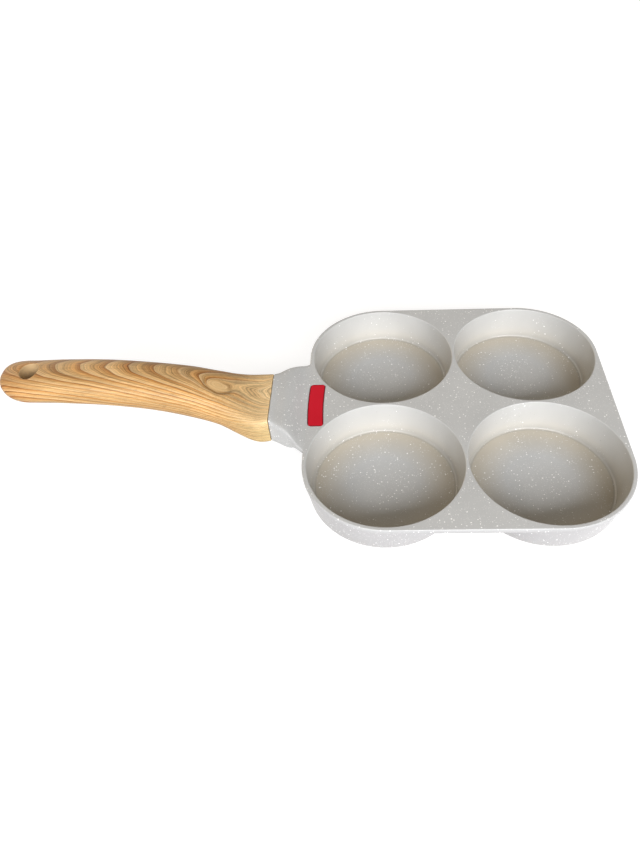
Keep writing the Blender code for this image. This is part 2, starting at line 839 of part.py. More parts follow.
def main():
    """Build the pan."""
    clear_scene()
    parts = new_collection("divided_frying_pan")
    cutters = new_collection("cutters")
    origin = make_origin(parts)
    make_pan_body(parts, cutters, origin)
    make_base_discs(parts, cutters, origin)
    make_plaque(parts, origin)
    make_handle(parts, cutters, origin)
    make_screw(parts, origin)
    make_flat_washer(parts, origin)
    make_spring_washer(parts, origin)


main()
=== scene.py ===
"""Four-cup frying pan: fine shapes, finishes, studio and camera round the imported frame. Metres, +Z up."""

import math

import bmesh
import bpy
from mathutils import Matrix, Vector


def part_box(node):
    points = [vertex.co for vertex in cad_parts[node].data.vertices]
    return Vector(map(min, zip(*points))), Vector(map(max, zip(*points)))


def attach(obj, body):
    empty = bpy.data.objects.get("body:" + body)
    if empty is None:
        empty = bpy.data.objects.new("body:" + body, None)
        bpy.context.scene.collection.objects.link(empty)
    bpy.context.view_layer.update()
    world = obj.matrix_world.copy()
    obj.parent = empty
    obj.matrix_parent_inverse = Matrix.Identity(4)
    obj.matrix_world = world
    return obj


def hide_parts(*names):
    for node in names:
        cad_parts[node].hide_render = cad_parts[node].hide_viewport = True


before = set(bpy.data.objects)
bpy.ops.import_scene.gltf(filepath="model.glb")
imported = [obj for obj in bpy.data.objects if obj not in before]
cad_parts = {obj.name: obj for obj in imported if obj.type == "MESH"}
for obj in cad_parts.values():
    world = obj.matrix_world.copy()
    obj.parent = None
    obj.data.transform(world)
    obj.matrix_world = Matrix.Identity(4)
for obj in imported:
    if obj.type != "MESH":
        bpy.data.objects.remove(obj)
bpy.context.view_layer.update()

# Where the frame has the pan: the middle of the deck's top, and the cups' axes from there
DECK_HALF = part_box("pan_body")[1][1]
DECK_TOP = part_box("red_plaque")[1][2]
PAN_MIDDLE_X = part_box("pan_body")[1][0] - DECK_HALF
DISC_LOW, DISC_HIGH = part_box("base_disc_rear_right")
CUP_OFFSET = (DISC_LOW[1] + DISC_HIGH[1]) / 2
HANDLE_LOW, HANDLE_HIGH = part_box("handle")
SCREW_LOW, SCREW_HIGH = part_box("handle_screw")
SCREW_X = (SCREW_LOW[0] + SCREW_HIGH[0]) / 2 - PAN_MIDDLE_X

# Cups and deck, with heights from the deck's top
CUP_RADIUS = 0.0450
CUP_DEPTH = 0.0200
CUP_DRAFT = math.tan(math.radians(6.76))
CUP_RIM_ROUND = 0.0006
CUP_FLOOR_FILLET = 0.0014
CUP_WALL = 0.0022
CUP_BASE = -0.0229
CUP_BASE_ROUND = 0.0040
CUP_SEGMENTS = 192
CUP_ROUND_STEPS = 8
DECK_REACH = DECK_HALF - CUP_OFFSET
DECK_THICKNESS = 0.0030
DECK_EDGE_ROUND = 0.0006
DECK_EDGE_STEPS = 5
DECK_EDGE_DEPTHS = (0.4, 0.6, 0.8, 1.0)

# The gap between touching pieces, and how near two points count as one
GAP = 0.0003
MERGE = 0.00001

# Neck
NECK_LENGTH = 0.0204
NECK_ROOT_HALF_WIDTH = 0.0370
NECK_SQUARENESS = 12.0
NECK_STEPS = 18
JOINT_X = -DECK_HALF - NECK_LENGTH
JOINT_HALF_WIDTH = 0.0205
JOINT_LEAN = 0.0012
JOINT_TOP = 0.0079
JOINT_BOTTOM = -0.0092
JOINT_EDGE_ROUND = 0.0003
JOINT_EDGE_STEPS = 3

# Neck: how far along it, and how far its flare, its top's fall and its bottom's rise have come
NECK_SHAPE = (
    (0.00, 0.00, 0.00, 0.00),
    (0.14, 0.11, 0.10, 0.03),
    (0.30, 0.26, 0.11, 0.06),
    (0.45, 0.40, 0.14, 0.11),
    (0.60, 0.55, 0.29, 0.35),
    (0.75, 0.72, 0.58, 0.87),
    (0.88, 0.87, 0.86, 0.97),
    (1.00, 1.00, 0.96, 0.97),
)

# Pockets under the neck and the tang inside the handle
POCKET_END_WALL = 0.0042
POCKET_LENGTH = 0.0088
POCKET_WIDTH = 0.0165
POCKET_CEILING = 0.0016
POCKET_CORNER = 0.0025
RIB_THICKNESS = 0.0032
TANG_LENGTH = 0.0300
TANG_WIDTH = 0.0200
TANG_HEIGHT = 0.0080
TANG_CENTRE = -0.0006
TANG_RISE = math.radians(8.0)
TANG_ROOT = 0.0020
TANG_EDGE_ROUND = 0.0010

# Handle: distance from the joint, half width, top, bottom, squareness of the section
HANDLE_SECTIONS = (
    (0.0000, 0.0211, 0.0079, -0.0092, 12.0),
    (0.0060, 0.0218, 0.0075, -0.0107, 8.0),
    (0.0125, 0.0208, 0.0097, -0.0111, 5.0),
    (0.0205, 0.0187, 0.0137, -0.0089, 3.6),
    (0.0305, 0.0164, 0.0191, -0.0047, 2.9),
    (0.0455, 0.0157, 0.0242, 0.0004, 2.5),
    (0.0665, 0.0146, 0.0284, 0.0056, 2.35),
    (0.0915, 0.0145, 0.0308, 0.0100, 2.3),
    (0.1175, 0.0144, 0.0312, 0.0126, 2.3),
    (0.1340, 0.0144, 0.0302, 0.0140, 2.4),
)
HANDLE_SPACING = 0.0020
HANDLE_SEGMENTS = 96

# Handle's end: its round and lift, how its rows crowd towards the tip, and the share of the section there
HANDLE_END_ROUND = 0.0178
HANDLE_END_SQUARENESS = 2.7
HANDLE_END_ROWS = 14
HANDLE_END_CROWDING = 1.3
HANDLE_END_FACE = 0.03
HANDLE_TIP_LIFT = 0.0027
HANDLE_LENGTH = HANDLE_SECTIONS[-1][0] + HANDLE_END_ROUND

# Hanging hole
HANG_HOLE_HALF_LENGTH = 0.0050
HANG_HOLE_HALF_WIDTH = 0.0063
HANG_HOLE_MOUTH = 0.0007
HANG_HOLE_FROM_END = 0.0172
HANG_HOLE_ALONG = HANDLE_LENGTH - HANG_HOLE_FROM_END
HANG_HOLE_SEGMENTS = 72
HANG_HOLE_STEPS = 10

# Plaque
PLAQUE_LENGTH = 0.0354
PLAQUE_WIDTH = 0.0092
PLAQUE_THICKNESS = 0.0008
PLAQUE_CORNER = 0.0022
PLAQUE_BOW = 0.0007
PLAQUE_BOW_CUTS = 11
PLAQUE_FROM_EDGE = 0.0017
PLAQUE_MIDDLE_X = -DECK_HALF + PLAQUE_FROM_EDGE + PLAQUE_WIDTH / 2
PLAQUE_EDGE_ROUND = 0.0002

# Base discs, with the ring radius and count of their holes
DISC_RADIUS = (DISC_HIGH[0] - DISC_LOW[0]) / 2
DISC_THICKNESS = 0.0008
DISC_PROUD = 0.0002
DISC_EDGE_ROUND = 0.0002
DISC_HOLE_RADIUS = 0.0019
DISC_HOLE_RINGS = ((0.0130, 6), (0.0250, 12))

# Screw, its recess in the handle and its washers
SCREW_RADIUS = 0.0025
SCREW_HEAD_RADIUS = (SCREW_HIGH[1] - SCREW_LOW[1]) / 2
SCREW_HEAD_HEIGHT = 0.0026
SCREW_HEAD_ROUND = 0.0012
SCREW_HEAD_EDGE_ROUND = 0.0002
SCREW_TIP_CHAMFER = 0.0008
CROSS_LENGTH = 0.0050
CROSS_WIDTH = 0.0011
CROSS_DEPTH = 0.0016
CROSS_CORNER = 0.0001
RECESS_CLEARANCE = 0.0008
RECESS_PAST_HANDLE = 0.0020
WASHER_EDGE_ROUND = 0.0001
SPRING_SPLIT = 0.0008

# Coat: its two tones. The painted warm shade towards the corner of floor and wall, the painted shade in the
# crease there and the spray change with the distance from the nearest cup's axis, as a share of COAT_REACH.
# The outer side has a spray of its own and a tint, partly a coat of its own and partly painted shade below
# the deck's top; the tint fades out on the neck
COAT_TONES = [(0.3, (0.472, 0.481, 0.484, 1.0)), (0.7, (0.516, 0.526, 0.529, 1.0))]
COAT_REACH = 0.0500
# Painted warm shade towards the corner of floor and wall: where it lies, and its colour
PAINTED_CORNER_SHADE = [(0.40, 0.0), (0.74, 1.0), (0.83, 1.0), (0.86, 0.3), (0.90, 0.0)]
PAINTED_CORNER_SHADE_TINT = (1.0, 0.905, 0.76, 1.0)
# Painted shade in the crease of floor and wall: where it lies, and its colour
PAINTED_CREASE_SHADE = [(0.806, 0.0), (0.820, 1.0), (0.842, 1.0), (0.852, 0.0)]
PAINTED_CREASE_SHADE_TINT = (0.80, 0.82, 0.86, 1.0)
COAT_SPRAY = [(0.24, 1.0), (0.60, 0.42), (0.82, 0.32), (0.86, 0.0), (0.90, 0.0), (0.92, 0.80)]
COAT_OUTER_SPRAY = 0.68
# The outer side's tint: partly a coat of its own, partly painted shade below the deck's top
COAT_OUTER_TINT_AND_SHADE = (0.85, 0.825, 0.84, 1.0)
COAT_TINT_ON_NECK = 0.0060
COAT_BELOW_TOP = 0.0001

# Specks: number per metre, size, share and tone of each pale layer, and of the dark ones under them
SPECK_LAYERS = (
    (1500.0, 0.32, 0.28, 0.64),
    (820.0, 0.29, 0.125, 0.90),
    (380.0, 0.155, 0.15, 0.97),
)
DARK_SPECKS = (760.0, 0.16, 0.12)
DARK_SPECK_TONE = (0.38, 0.38, 0.37, 1.0)
SPECK_HEIGHT = 0.00002
SPECK_SOFTNESS = 0.06
SPECK_LEAST_SIZE = 0.35
SPECK_WOBBLE = 0.0006
SPECK_WOBBLE_SCALE = 1500.0
SPECK_PATCH_SCALE = 70.0

# Where a value is spread by a pattern: how much it swings with the pattern, and what it starts from
SPECK_PATCHES = (3.2, -0.6)
SPRAY_THICKNESS = (2.2, -0.9)
RING_STRENGTH = (0.75, 0.45)
KNOT_FALL = (-0.6, -0.20)
WOOD_ROUGHNESS = (0.12, 0.34)
DISC_ROUGHNESS = (0.16, 0.28)

# Red enamel: its tones, and the painted shade along its edge: its tone and how far in it reaches
RED_TONES = [(0.3, (0.55, 0.008, 0.022, 1.0)), (0.7, (0.63, 0.011, 0.029, 1.0))]
RED_EDGE_SHADE_TONE = (0.26, 0.004, 0.014, 1.0)
RED_EDGE_SHADE_WIDTH = 0.0007

# Wood print: the rings' spacing along the crown, how fast they fall away from it, their sway and tones
RING_SPACING = 0.0140
RING_STEEPNESS = 150.0
RING_STEEPENING = 150000.0
RING_HEART_Y = 0.0030
RING_SWAY = 0.0120
RING_SWAY_SCALE = (22.0, 70.0)
RING_HEIGHT_SCALE = 0.0400
WOOD_PALE = (0.68, 0.440, 0.200, 1.0)
WOOD_RING_TONES = [
    (0.00, (0.75, 0.514, 0.268, 1.0)),
    (0.04, (0.27, 0.105, 0.030, 1.0)),
    (0.10, (0.44, 0.190, 0.053, 1.0)),
    (0.32, (0.61, 0.328, 0.114, 1.0)),
    (0.68, (0.68, 0.424, 0.185, 1.0)),
    (1.00, (0.75, 0.514, 0.268, 1.0)),
]

# Distances from the joint between which the rings come up to full strength, and the share they start from
RING_FADE = (0.006, 0.034, 0.35)

# Finer rings between the growth rings: how many to a ring and how strong, with their tones
FINE_RINGS = ((3.7, 0.90), (8.3, 0.62))
FINE_RING_TONES = [(0.00, 1.07), (0.10, 0.74), (0.40, 0.95), (1.00, 1.07)]

# Marks along the rings: how fine across and along them, their detail and tones
RING_MARKS = (
    ((260.0, 14.0, 4.0), [(0.34, 0.68), (0.50, 1.0), (0.68, 1.15)]),
    ((1150.0, 30.0, 2.0), [(0.34, 0.66), (0.47, 1.0), (0.66, 1.08)]),
)

# Marks along the handle: how fine along and across it, and their tones, for fibres, pores and patches
FIBRE_SCALE = (70.0, 1000.0)
FIBRE_TONES = [(0.38, 0.90), (0.50, 1.0), (0.62, 1.05)]
FIBRE_HEIGHT = 0.00003
HANDLE_MARKS = (
    ((260.0, 1900.0), [(0.34, 0.80), (0.42, 1.0)]),
    ((30.0, 60.0), [(0.35, 0.90), (0.65, 1.06)]),
)

# Knot: its place and size, how deep it pulls the rings, how fine its outline's unevenness is, its rim and
# where that fades, and its heart
KNOT_PLACE = (-0.1424, -0.0022)
KNOT_SIZE = (0.0047, 0.0034)
KNOT_DEPTH = 0.0320
KNOT_UNEVEN_SCALE = 110.0
KNOT_RIM = [(0.12, 1.0), (0.28, 0.42), (0.42, 0.78), (0.54, 1.0)]
KNOT_RIM_FADE = (1.6, -1.6, 0.05)
KNOT_HEART = (0.40, 0.62, 0.0, 0.60)
KNOT_TONE = (0.81, 0.565, 0.285, 1.0)

# Wood print at the joint and the tip, and inside the hanging hole, where it doesn't reach. By the joint the
# print pales, and its top is made lighter than its flanks: painted light
WOOD_JOINT_REACH = 0.0270
WOOD_JOINT_DROPS = (0.0065, 0.0010)
# Tints by the joint: the print pales there, and the top is made lighter than the flanks as painted light
WOOD_JOINT_TOP_TINT_AND_LIGHT = (1.32, 1.52, 1.84, 1.0)
WOOD_JOINT_FLANK_TINT_AND_SHADE = (0.94, 1.10, 1.20, 1.0)
WOOD_TIP_TINTS = [(0.80, (1.0, 1.0, 1.0, 1.0)), (1.00, (0.87, 0.75, 0.67, 1.0))]
WOOD_HOLE_TONE = (0.49, 0.345, 0.185, 1.0)
WOOD_HOLE_EDGE = (1.10, 1.02)

# Steel: the discs' tones and brushing, how fine across and along its lines, the zinc's cloudiness, and how
# fine the clouds of all smooth finishes are
DISC_TONES = [(0.3, (0.50, 0.50, 0.49, 1.0)), (0.7, (0.62, 0.62, 0.61, 1.0))]
BRUSH_SCALE = (9000.0, 2.0)
BRUSH_HEIGHT = 0.00002
ZINC_CLOUD = 0.04
CLOUD_SCALE = 38.0

# Studio: the floor, the lamps' degrees aside and above, distance, size, power and colour, and the faint
# warm light that comes from all round
FLOOR_HALF = 4.0
FLOOR_DROP = 0.0001
FLOOR_TONE = (0.30, 0.30, 0.30, 1.0)
FLOOR_ROUGHNESS = 0.9
FLOOR_GLOW = 0.84
LAMPS = (
    ("key", 11.0, 28.5, 1.8, (2.6, 0.8), 64.0, (0.99, 0.99, 1.0)),
    ("back", -140.0, 22.0, 2.4, (1.3, 1.3), 12.0, (1.0, 0.78, 0.50)),
)
FILL_STRENGTH = 0.15
FILL_TONE = (1.0, 0.82, 0.56, 1.0)
WHITE = (1.0, 1.0, 1.0, 1.0)

# Camera, found from the photograph, with its place from the middle of the deck's top
CAMERA_PLACE = (-0.05124, -0.25204, 0.24022)
CAMERA_ABOVE = math.radians(55.185)
CAMERA_ASIDE = math.radians(2.729)
CAMERA_ROLL = math.radians(-2.894)
CAMERA_LENS = 23.866
CAMERA_SENSOR = 36.0
CAMERA_SHIFT = (-0.0469, 0.1096)
CAMERA_NEAR = 0.01


# Mesh helpers


def rounded(corners, steps):
    """Return the points of an open line whose corners (across, up, radius) are rounded by arcs."""
    points = []
    for index, (across, up, radius) in enumerate(corners):
        if radius == 0.0:
            points.append((across, up))
            continue
        here = Vector((across, up))
        back = (Vector(corners[index - 1][:2]) - here).normalized()
        ahead = (Vector(corners[index + 1][:2]) - here).normalized()
        half = back.angle(ahead) / 2
        middle = (back + ahead).normalized()
        centre = here + middle * (radius / math.sin(half))
        swing = math.pi / 2 - half
        side = 1.0 if back.x * ahead.y - back.y * ahead.x > 0.0 else -1.0
        for step in range(steps + 1):
            turn = side * swing * (2 * step / steps - 1)
            spoke = Matrix.Rotation(-turn, 2) @ -middle
            points.append(tuple(centre + spoke * radius))
    return points


def drawn(points, closed=False):
    """Return a line of (across, up) points in the XZ plane, open or closed."""
    shape = bmesh.new()
    corners = [shape.verts.new((across, 0.0, up)) for across, up in points]
    for pair in zip(corners, corners[1:] + (corners[:1] if closed else [])):
        shape.edges.new(pair)
    return shape


def spun(shape, segments):
    """Spin a line once round Z and close it up."""
    bmesh.ops.spin(
        shape,
        geom=shape.verts[:] + shape.edges[:],
        axis=(0.0, 0.0, 1.0),
        angle=2 * math.pi,
        steps=segments,
        use_merge=True,
    )
    bmesh.ops.remove_doubles(shape, verts=shape.verts, dist=MERGE)
    return shape


def grown(segments, rows, place):
    """Return the closed shape that grows from ring to ring; place gives an angle's spot on a row."""
    shape = bmesh.new()
    turn = shape.verts.layers.float.new("turn")
    bmesh.ops.create_circle(shape, cap_ends=True, segments=segments, radius=1.0)
    corners, loop = shape.verts[:], shape.edges[:]
    for corner in corners:
        corner[turn] = math.atan2(corner.co.y, corner.co.x)
        corner.co = place(corner[turn], *rows[0])
    for row in rows[1:]:
        made = bmesh.ops.extrude_edge_only(shape, edges=loop)["geom"]
        corners = {item for item in made if isinstance(item, bmesh.types.BMVert)}
        edges = [item for item in made if isinstance(item, bmesh.types.BMEdge)]
        loop = [edge for edge in edges if corners.issuperset(edge.verts)]
        for corner in corners:
            corner.co = place(corner[turn], *row)
    bmesh.ops.edgeloop_fill(shape, edges=loop)
    shape.verts.layers.float.remove(turn)
    return shape


def block(size):
    """Return a block of that size, centred on its place."""
    shape = bmesh.new()
    bmesh.ops.create_cube(shape, size=1.0)
    bmesh.ops.scale(shape, verts=shape.verts, vec=size)
    return shape


def edges_along(shape, axis, least=MERGE):
    """Return the edges that reach further than that along an axis."""
    return [edge for edge in shape.edges if abs((edge.verts[0].co - edge.verts[1].co)[axis]) > least]


def bevel(shape, geometry, width, segments, affect="EDGES"):
    """Round edges or corners."""
    bmesh.ops.bevel(
        shape,
        geom=geometry,
        offset=width,
        offset_type="OFFSET",
        segments=segments,
        profile=0.5,
        affect=affect,
        clamp_overlap=True,
        material=-1,
    )


def rounded_block(size, upright_radius, segments):
    """Return a block with its upright edges rounded."""
    shape = block(size)
    bevel(shape, edges_along(shape, 2), upright_radius, segments)
    return shape


def add_object(name, data):
    """Add an object to the scene."""
    thing = bpy.data.objects.new(name, data)
    bpy.context.scene.collection.objects.link(thing)
    return thing


def loose_object(name, shape, place=(0.0, 0.0, 0.0), turn=0.0):
    """Make a shape an object, its faces outwards, moved in the pan's own measure and turned about Y."""
    bmesh.ops.recalc_face_normals(shape, faces=shape.faces)
    mesh = bpy.data.meshes.new(name)
    shape.to_mesh(mesh)
    shape.free()
    mesh.transform(Matrix.Translation(place) @ Matrix.Rotation(turn, 4, "Y"))
    return add_object(name, mesh)


def shape_with(thing, cutters, joined=()):
    """Join objects to a thing, cut others out of it, in turn, and remove them all."""
    steps = [("UNION", other) for other in joined] + [("DIFFERENCE", other) for other in cutters]
    for operation, other in steps:
        modifier = thing.modifiers.new(other.name, "BOOLEAN")
        modifier.operation = operation
        modifier.solver = "MANIFOLD"
        modifier.object = other
    graph = bpy.context.evaluated_depsgraph_get()
    mesh = bpy.data.meshes.new_from_object(thing.evaluated_get(graph))
    thing.modifiers.clear()
    thing.data = mesh
    for _, other in steps:
        bpy.data.objects.remove(other, do_unlink=True)


def finish_piece(thing, material, nodes, sharp_angle=35.0):
    """Place a piece in the frame, shade it, give it its finish, hang it on the root body and hide the
    frame's parts it stands for.
    """
    mesh = thing.data
    mesh.transform(Matrix.Translation((PAN_MIDDLE_X, 0.0, DECK_TOP)))
    mesh.materials.clear()
    mesh.materials.append(material)
    mesh.shade_smooth()
    mesh.set_sharp_from_angle(angle=math.radians(sharp_angle))
    normals = thing.modifiers.new("even_normals", "WEIGHTED_NORMAL")
    normals.keep_sharp = True
    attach(thing, "root")
    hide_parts(*nodes)


# Cast body


def cup_rows():
    """Return a cup's rows from its floor over the rim and the deck's edge to the base's seat.

    Each row is its reach from the cup's axis, its height, and whether it follows the deck's outline.
    """
    wall_top = CUP_RADIUS - CUP_RIM_ROUND
    floor_radius = wall_top - (CUP_DEPTH - CUP_RIM_ROUND) * CUP_DRAFT
    outer_top = wall_top + CUP_WALL + (CUP_RIM_ROUND - DECK_THICKNESS) * CUP_DRAFT
    outer_base = wall_top + CUP_WALL + (CUP_RIM_ROUND + CUP_BASE) * CUP_DRAFT
    seat_radius = DISC_RADIUS + GAP
    seat_ceiling = CUP_BASE - DISC_PROUD + DISC_THICKNESS + GAP
    inside = [
        (floor_radius / 2, -CUP_DEPTH, 0.0),
        (floor_radius, -CUP_DEPTH, CUP_FLOOR_FILLET),
        (wall_top - CUP_DEPTH / 2 * CUP_DRAFT, -CUP_DEPTH / 2, 0.0),
        (wall_top, 0.0, CUP_RIM_ROUND),
        (CUP_RADIUS + CUP_RIM_ROUND, 0.0, 0.0),
    ]
    edge = [(DECK_REACH - 2 * DECK_EDGE_ROUND, 0.0, 0.0), (DECK_REACH, 0.0, DECK_EDGE_ROUND)]
    edge += [(DECK_REACH, -depth * DECK_THICKNESS, 0.0) for depth in DECK_EDGE_DEPTHS]
    outside = [
        (outer_top, -DECK_THICKNESS, 0.0),
        ((outer_top + outer_base) / 2, (CUP_BASE - DECK_THICKNESS) / 2, 0.0),
        (outer_base, CUP_BASE, CUP_BASE_ROUND),
        (seat_radius, CUP_BASE, 0.0),
        (seat_radius, seat_ceiling, 0.0),
        (seat_radius / 2, seat_ceiling, 0.0),
    ]
    parts = (
        (rounded(inside, CUP_ROUND_STEPS)[:-1], False),
        (rounded(edge, DECK_EDGE_STEPS)[1:], True),
        (rounded(outside, CUP_ROUND_STEPS), False),
    )
    return [(*point, on_outline) for points, on_outline in parts for point in points]


def cup_point(angle, reach, height, on_outline):
    """Return a point of a cup's row. The deck's outline is an arc at its corner, else straight."""
    across, along = math.cos(angle), math.sin(angle)
    if on_outline and min(across, along) <= -MERGE:
        reach /= max(abs(across), abs(along))
    return (reach * across, reach * along, height)


def trim_and_mirror(shape):
    """Cut a quarter at both middle planes and mirror it to the whole."""
    for axis, normal in (("X", (1.0, 0.0, 0.0)), ("Y", (0.0, 1.0, 0.0))):
        everything = shape.verts[:] + shape.edges[:] + shape.faces[:]
        bmesh.ops.bisect_plane(
            shape, geom=everything, dist=MERGE, plane_co=(0.0, 0.0, 0.0), plane_no=normal, clear_inner=True
        )
        everything = shape.verts[:] + shape.edges[:] + shape.faces[:]
        bmesh.ops.mirror(shape, geom=everything, matrix=Matrix.Identity(4), merge_dist=MERGE, axis=axis)
    bmesh.ops.remove_doubles(shape, verts=shape.verts, dist=MERGE)
    bmesh.ops.recalc_face_normals(shape, faces=shape.faces)


def blend_rows(rows, along):
    """Return a table's values at a distance along it, blended smoothly between its rows."""
    last = len(rows) - 1
    index = 0
    while index < last - 1 and rows[index + 1][0] <= along:
        index += 1
    start, end = rows[index], rows[index + 1]
    before, after = rows[max(index - 1, 0)], rows[min(index + 2, last)]
    span = end[0] - start[0]
    share = min(max((along - start[0]) / span, 0.0), 1.0)
    square, cube = share**2, share**3
    values = []
    for column in range(1, len(start)):
        slope_in = (end[column] - before[column]) / (end[0] - before[0]) * span
        slope_out = (after[column] - start[column]) / (after[0] - start[0]) * span
        values.append(
            (2 * cube - 3 * square + 1) * start[column]
            + (cube - 2 * square + share) * slope_in
            + (3 * square - 2 * cube) * end[column]
            + (cube - square) * slope_out
        )
    return values


def squircle(across, up, squareness):
    """Move a point of the square from -1 to 1 into the rounded section of that squareness."""
    size = max(abs(across), abs(up))
    if size < MERGE:
        return across, up
    edge = ((abs(across) / size) ** squareness + (abs(up) / size) ** squareness) ** (-1.0 / squareness)
    return across * edge, up * edge


def neck_point(along, across, up, shrink):
    """Return a point of the neck's section at a share of its length, for a place in the section."""
    flare, fall, rise = blend_rows(NECK_SHAPE, along)
    side, lift = squircle(across, up, NECK_SQUARENESS)
    top = JOINT_TOP * (1.0 - fall) - shrink
    bottom = JOINT_BOTTOM + (-DECK_THICKNESS - JOINT_BOTTOM) * rise + shrink
    half = JOINT_HALF_WIDTH + (NECK_ROOT_HALF_WIDTH - JOINT_HALF_WIDTH) * flare - shrink
    half += JOINT_LEAN * (1.0 - flare) * (1.0 - lift) / 2
    height = (top + bottom) / 2 + (top - bottom) / 2 * lift
    return (JOINT_X + NECK_LENGTH * along, half * side, height)


def grow_neck(shape):
    """Draw the neck out of the deck's side, section by section, as far as the joint."""
    across = shape.verts.layers.float.new("across")
    up = shape.verts.layers.float.new("up")
    side = [
        face
        for face in shape.faces
        if face.calc_center_median().x < -DECK_HALF + DECK_EDGE_ROUND
        and abs(face.calc_center_median().y) < NECK_ROOT_HALF_WIDTH
        and face.normal.x < -MERGE
    ]
    corners = {corner for face in side for corner in face.verts}
    widest = max(corner.co.y for corner in corners)
    for corner in corners:
        corner[across] = corner.co.y / widest
        corner[up] = 1.0 + 2.0 * corner.co.z / DECK_THICKNESS
    sections = [(1.0 - step / NECK_STEPS, 0.0) for step in range(NECK_STEPS)]
    sections += [(JOINT_EDGE_ROUND / NECK_LENGTH, 0.0), (0.0, JOINT_EDGE_ROUND)]
    for along, shrink in sections:
        made = bmesh.ops.extrude_face_region(shape, geom=side)["geom"]
        bmesh.ops.delete(shape, geom=side, context="FACES")
        side = [item for item in made if isinstance(item, bmesh.types.BMFace)]
        for corner in made:
            if isinstance(corner, bmesh.types.BMVert):
                corner.co = neck_point(along, corner[across], corner[up], shrink)
    for name in ("across", "up"):
        shape.verts.layers.float.remove(shape.verts.layers.float[name])


def on_tang(name, shape, reach):
    """Lay a shape along the sloping tang, from the tang's root as far as that past the joint."""
    middle = (reach - TANG_ROOT) / 2
    place = (JOINT_X - middle, 0.0, TANG_CENTRE + middle * math.tan(TANG_RISE))
    return loose_object(name, shape, place, TANG_RISE)


def make_tang():
    """Return the cast bar that goes into the handle."""
    shape = block((TANG_LENGTH + TANG_ROOT, TANG_WIDTH, TANG_HEIGHT))
    bevel(shape, shape.edges[:], TANG_EDGE_ROUND, segments=3)
    return on_tang("tang", shape, TANG_LENGTH)


def make_pocket(side):
    """Return what hollows the neck from below on one side of its rib."""
    height = POCKET_CEILING - 2 * JOINT_BOTTOM
    shape = rounded_block((POCKET_LENGTH, POCKET_WIDTH, height), POCKET_CORNER, segments=8)
    x = JOINT_X + POCKET_END_WALL + POCKET_LENGTH / 2
    y = side * (RIB_THICKNESS + POCKET_WIDTH) / 2
    return loose_object("pocket", shape, (x, y, POCKET_CEILING - height / 2))


def make_screw_hole():
    """Return what drills the tang from below for the screw."""
    radius = SCREW_RADIUS + GAP
    top = SCREW_HIGH[2] - DECK_TOP + 2 * GAP
    low = top - TANG_HEIGHT
    line = drawn([(0.0, top), (radius, top), (radius, low), (0.0, low)])
    return loose_object("screw_hole", spun(line, segments=32), (SCREW_X, 0.0, 0.0))


def make_cast_body():
    """Make the cast body: cups, deck, neck and tang in one."""
    shape = grown(CUP_SEGMENTS, cup_rows(), cup_point)
    bmesh.ops.translate(shape, verts=shape.verts, vec=(CUP_OFFSET, CUP_OFFSET, 0.0))
    trim_and_mirror(shape)
    grow_neck(shape)
    body = loose_object("cast_body", shape)
    seat = make_plaque_block("plaque_seat", GAP, -PLAQUE_THICKNESS - GAP, PLAQUE_THICKNESS)
    shape_with(body, [make_pocket(-1), make_pocket(1), seat, make_screw_hole()], [make_tang()])
    finish_piece(body, stone_coat(), ["pan_body"])


# Plaque


def make_plaque_block(name, margin, low, high, edge_round=0.0):
    """Make the plaque's bowed block, or its seat's when a margin is given."""
    half_length = PLAQUE_LENGTH / 2 + margin
    shape = block((PLAQUE_WIDTH + 2 * margin, 2 * half_length, high - low))
    bevel(shape, edges_along(shape, 2), PLAQUE_CORNER + margin, segments=6)
    lengthwise = edges_along(shape, 1, half_length)
    bmesh.ops.subdivide_edges(shape, edges=lengthwise, cuts=PLAQUE_BOW_CUTS, use_grid_fill=True)
    for corner in shape.verts:
        corner.co.x -= PLAQUE_BOW * (1.0 - (corner.co.y / half_length) ** 2)
    if edge_round:
        bevel(shape, [edge for edge in shape.edges if is_top_edge(edge)], edge_round, segments=3)
    return loose_object(name, shape, (PLAQUE_MIDDLE_X, 0.0, (high + low) / 2))


def is_top_edge(edge):
    """Tell whether an edge runs round the top of a block."""
    lifts = [face.normal.z for face in edge.link_faces]
    return max(lifts) > 0.9 and min(lifts) < 0.1


def make_plaque():
    """Make the plain red plaque."""
    plaque = make_plaque_block("plaque", 0.0, -PLAQUE_THICKNESS, 0.0, PLAQUE_EDGE_ROUND)
    finish_piece(plaque, red_enamel(), ["red_plaque"])


# Handle


def handle_point(angle, along, shrink, end, trim):
    """Return a point of the handle's surface, for a share of the round end past the last section."""
    half_width, top, bottom, squareness = blend_rows(HANDLE_SECTIONS, along)
    power = 2.0 / squareness
    lean = JOINT_LEAN / 2 * max(0.0, 1.0 - along / HANDLE_SECTIONS[1][0])
    side = math.copysign(abs(math.cos(angle)) ** power, math.cos(angle))
    lift = math.copysign(abs(math.sin(angle)) ** power, math.sin(angle))
    half_width = (half_width - lean * lift - trim) * shrink
    half_height = ((top - bottom) / 2 - trim) * shrink
    return (
        JOINT_X - GAP - along - HANDLE_END_ROUND * end,
        half_width * side,
        (top + bottom) / 2 + half_height * lift + HANDLE_TIP_LIFT * end**2,
    )


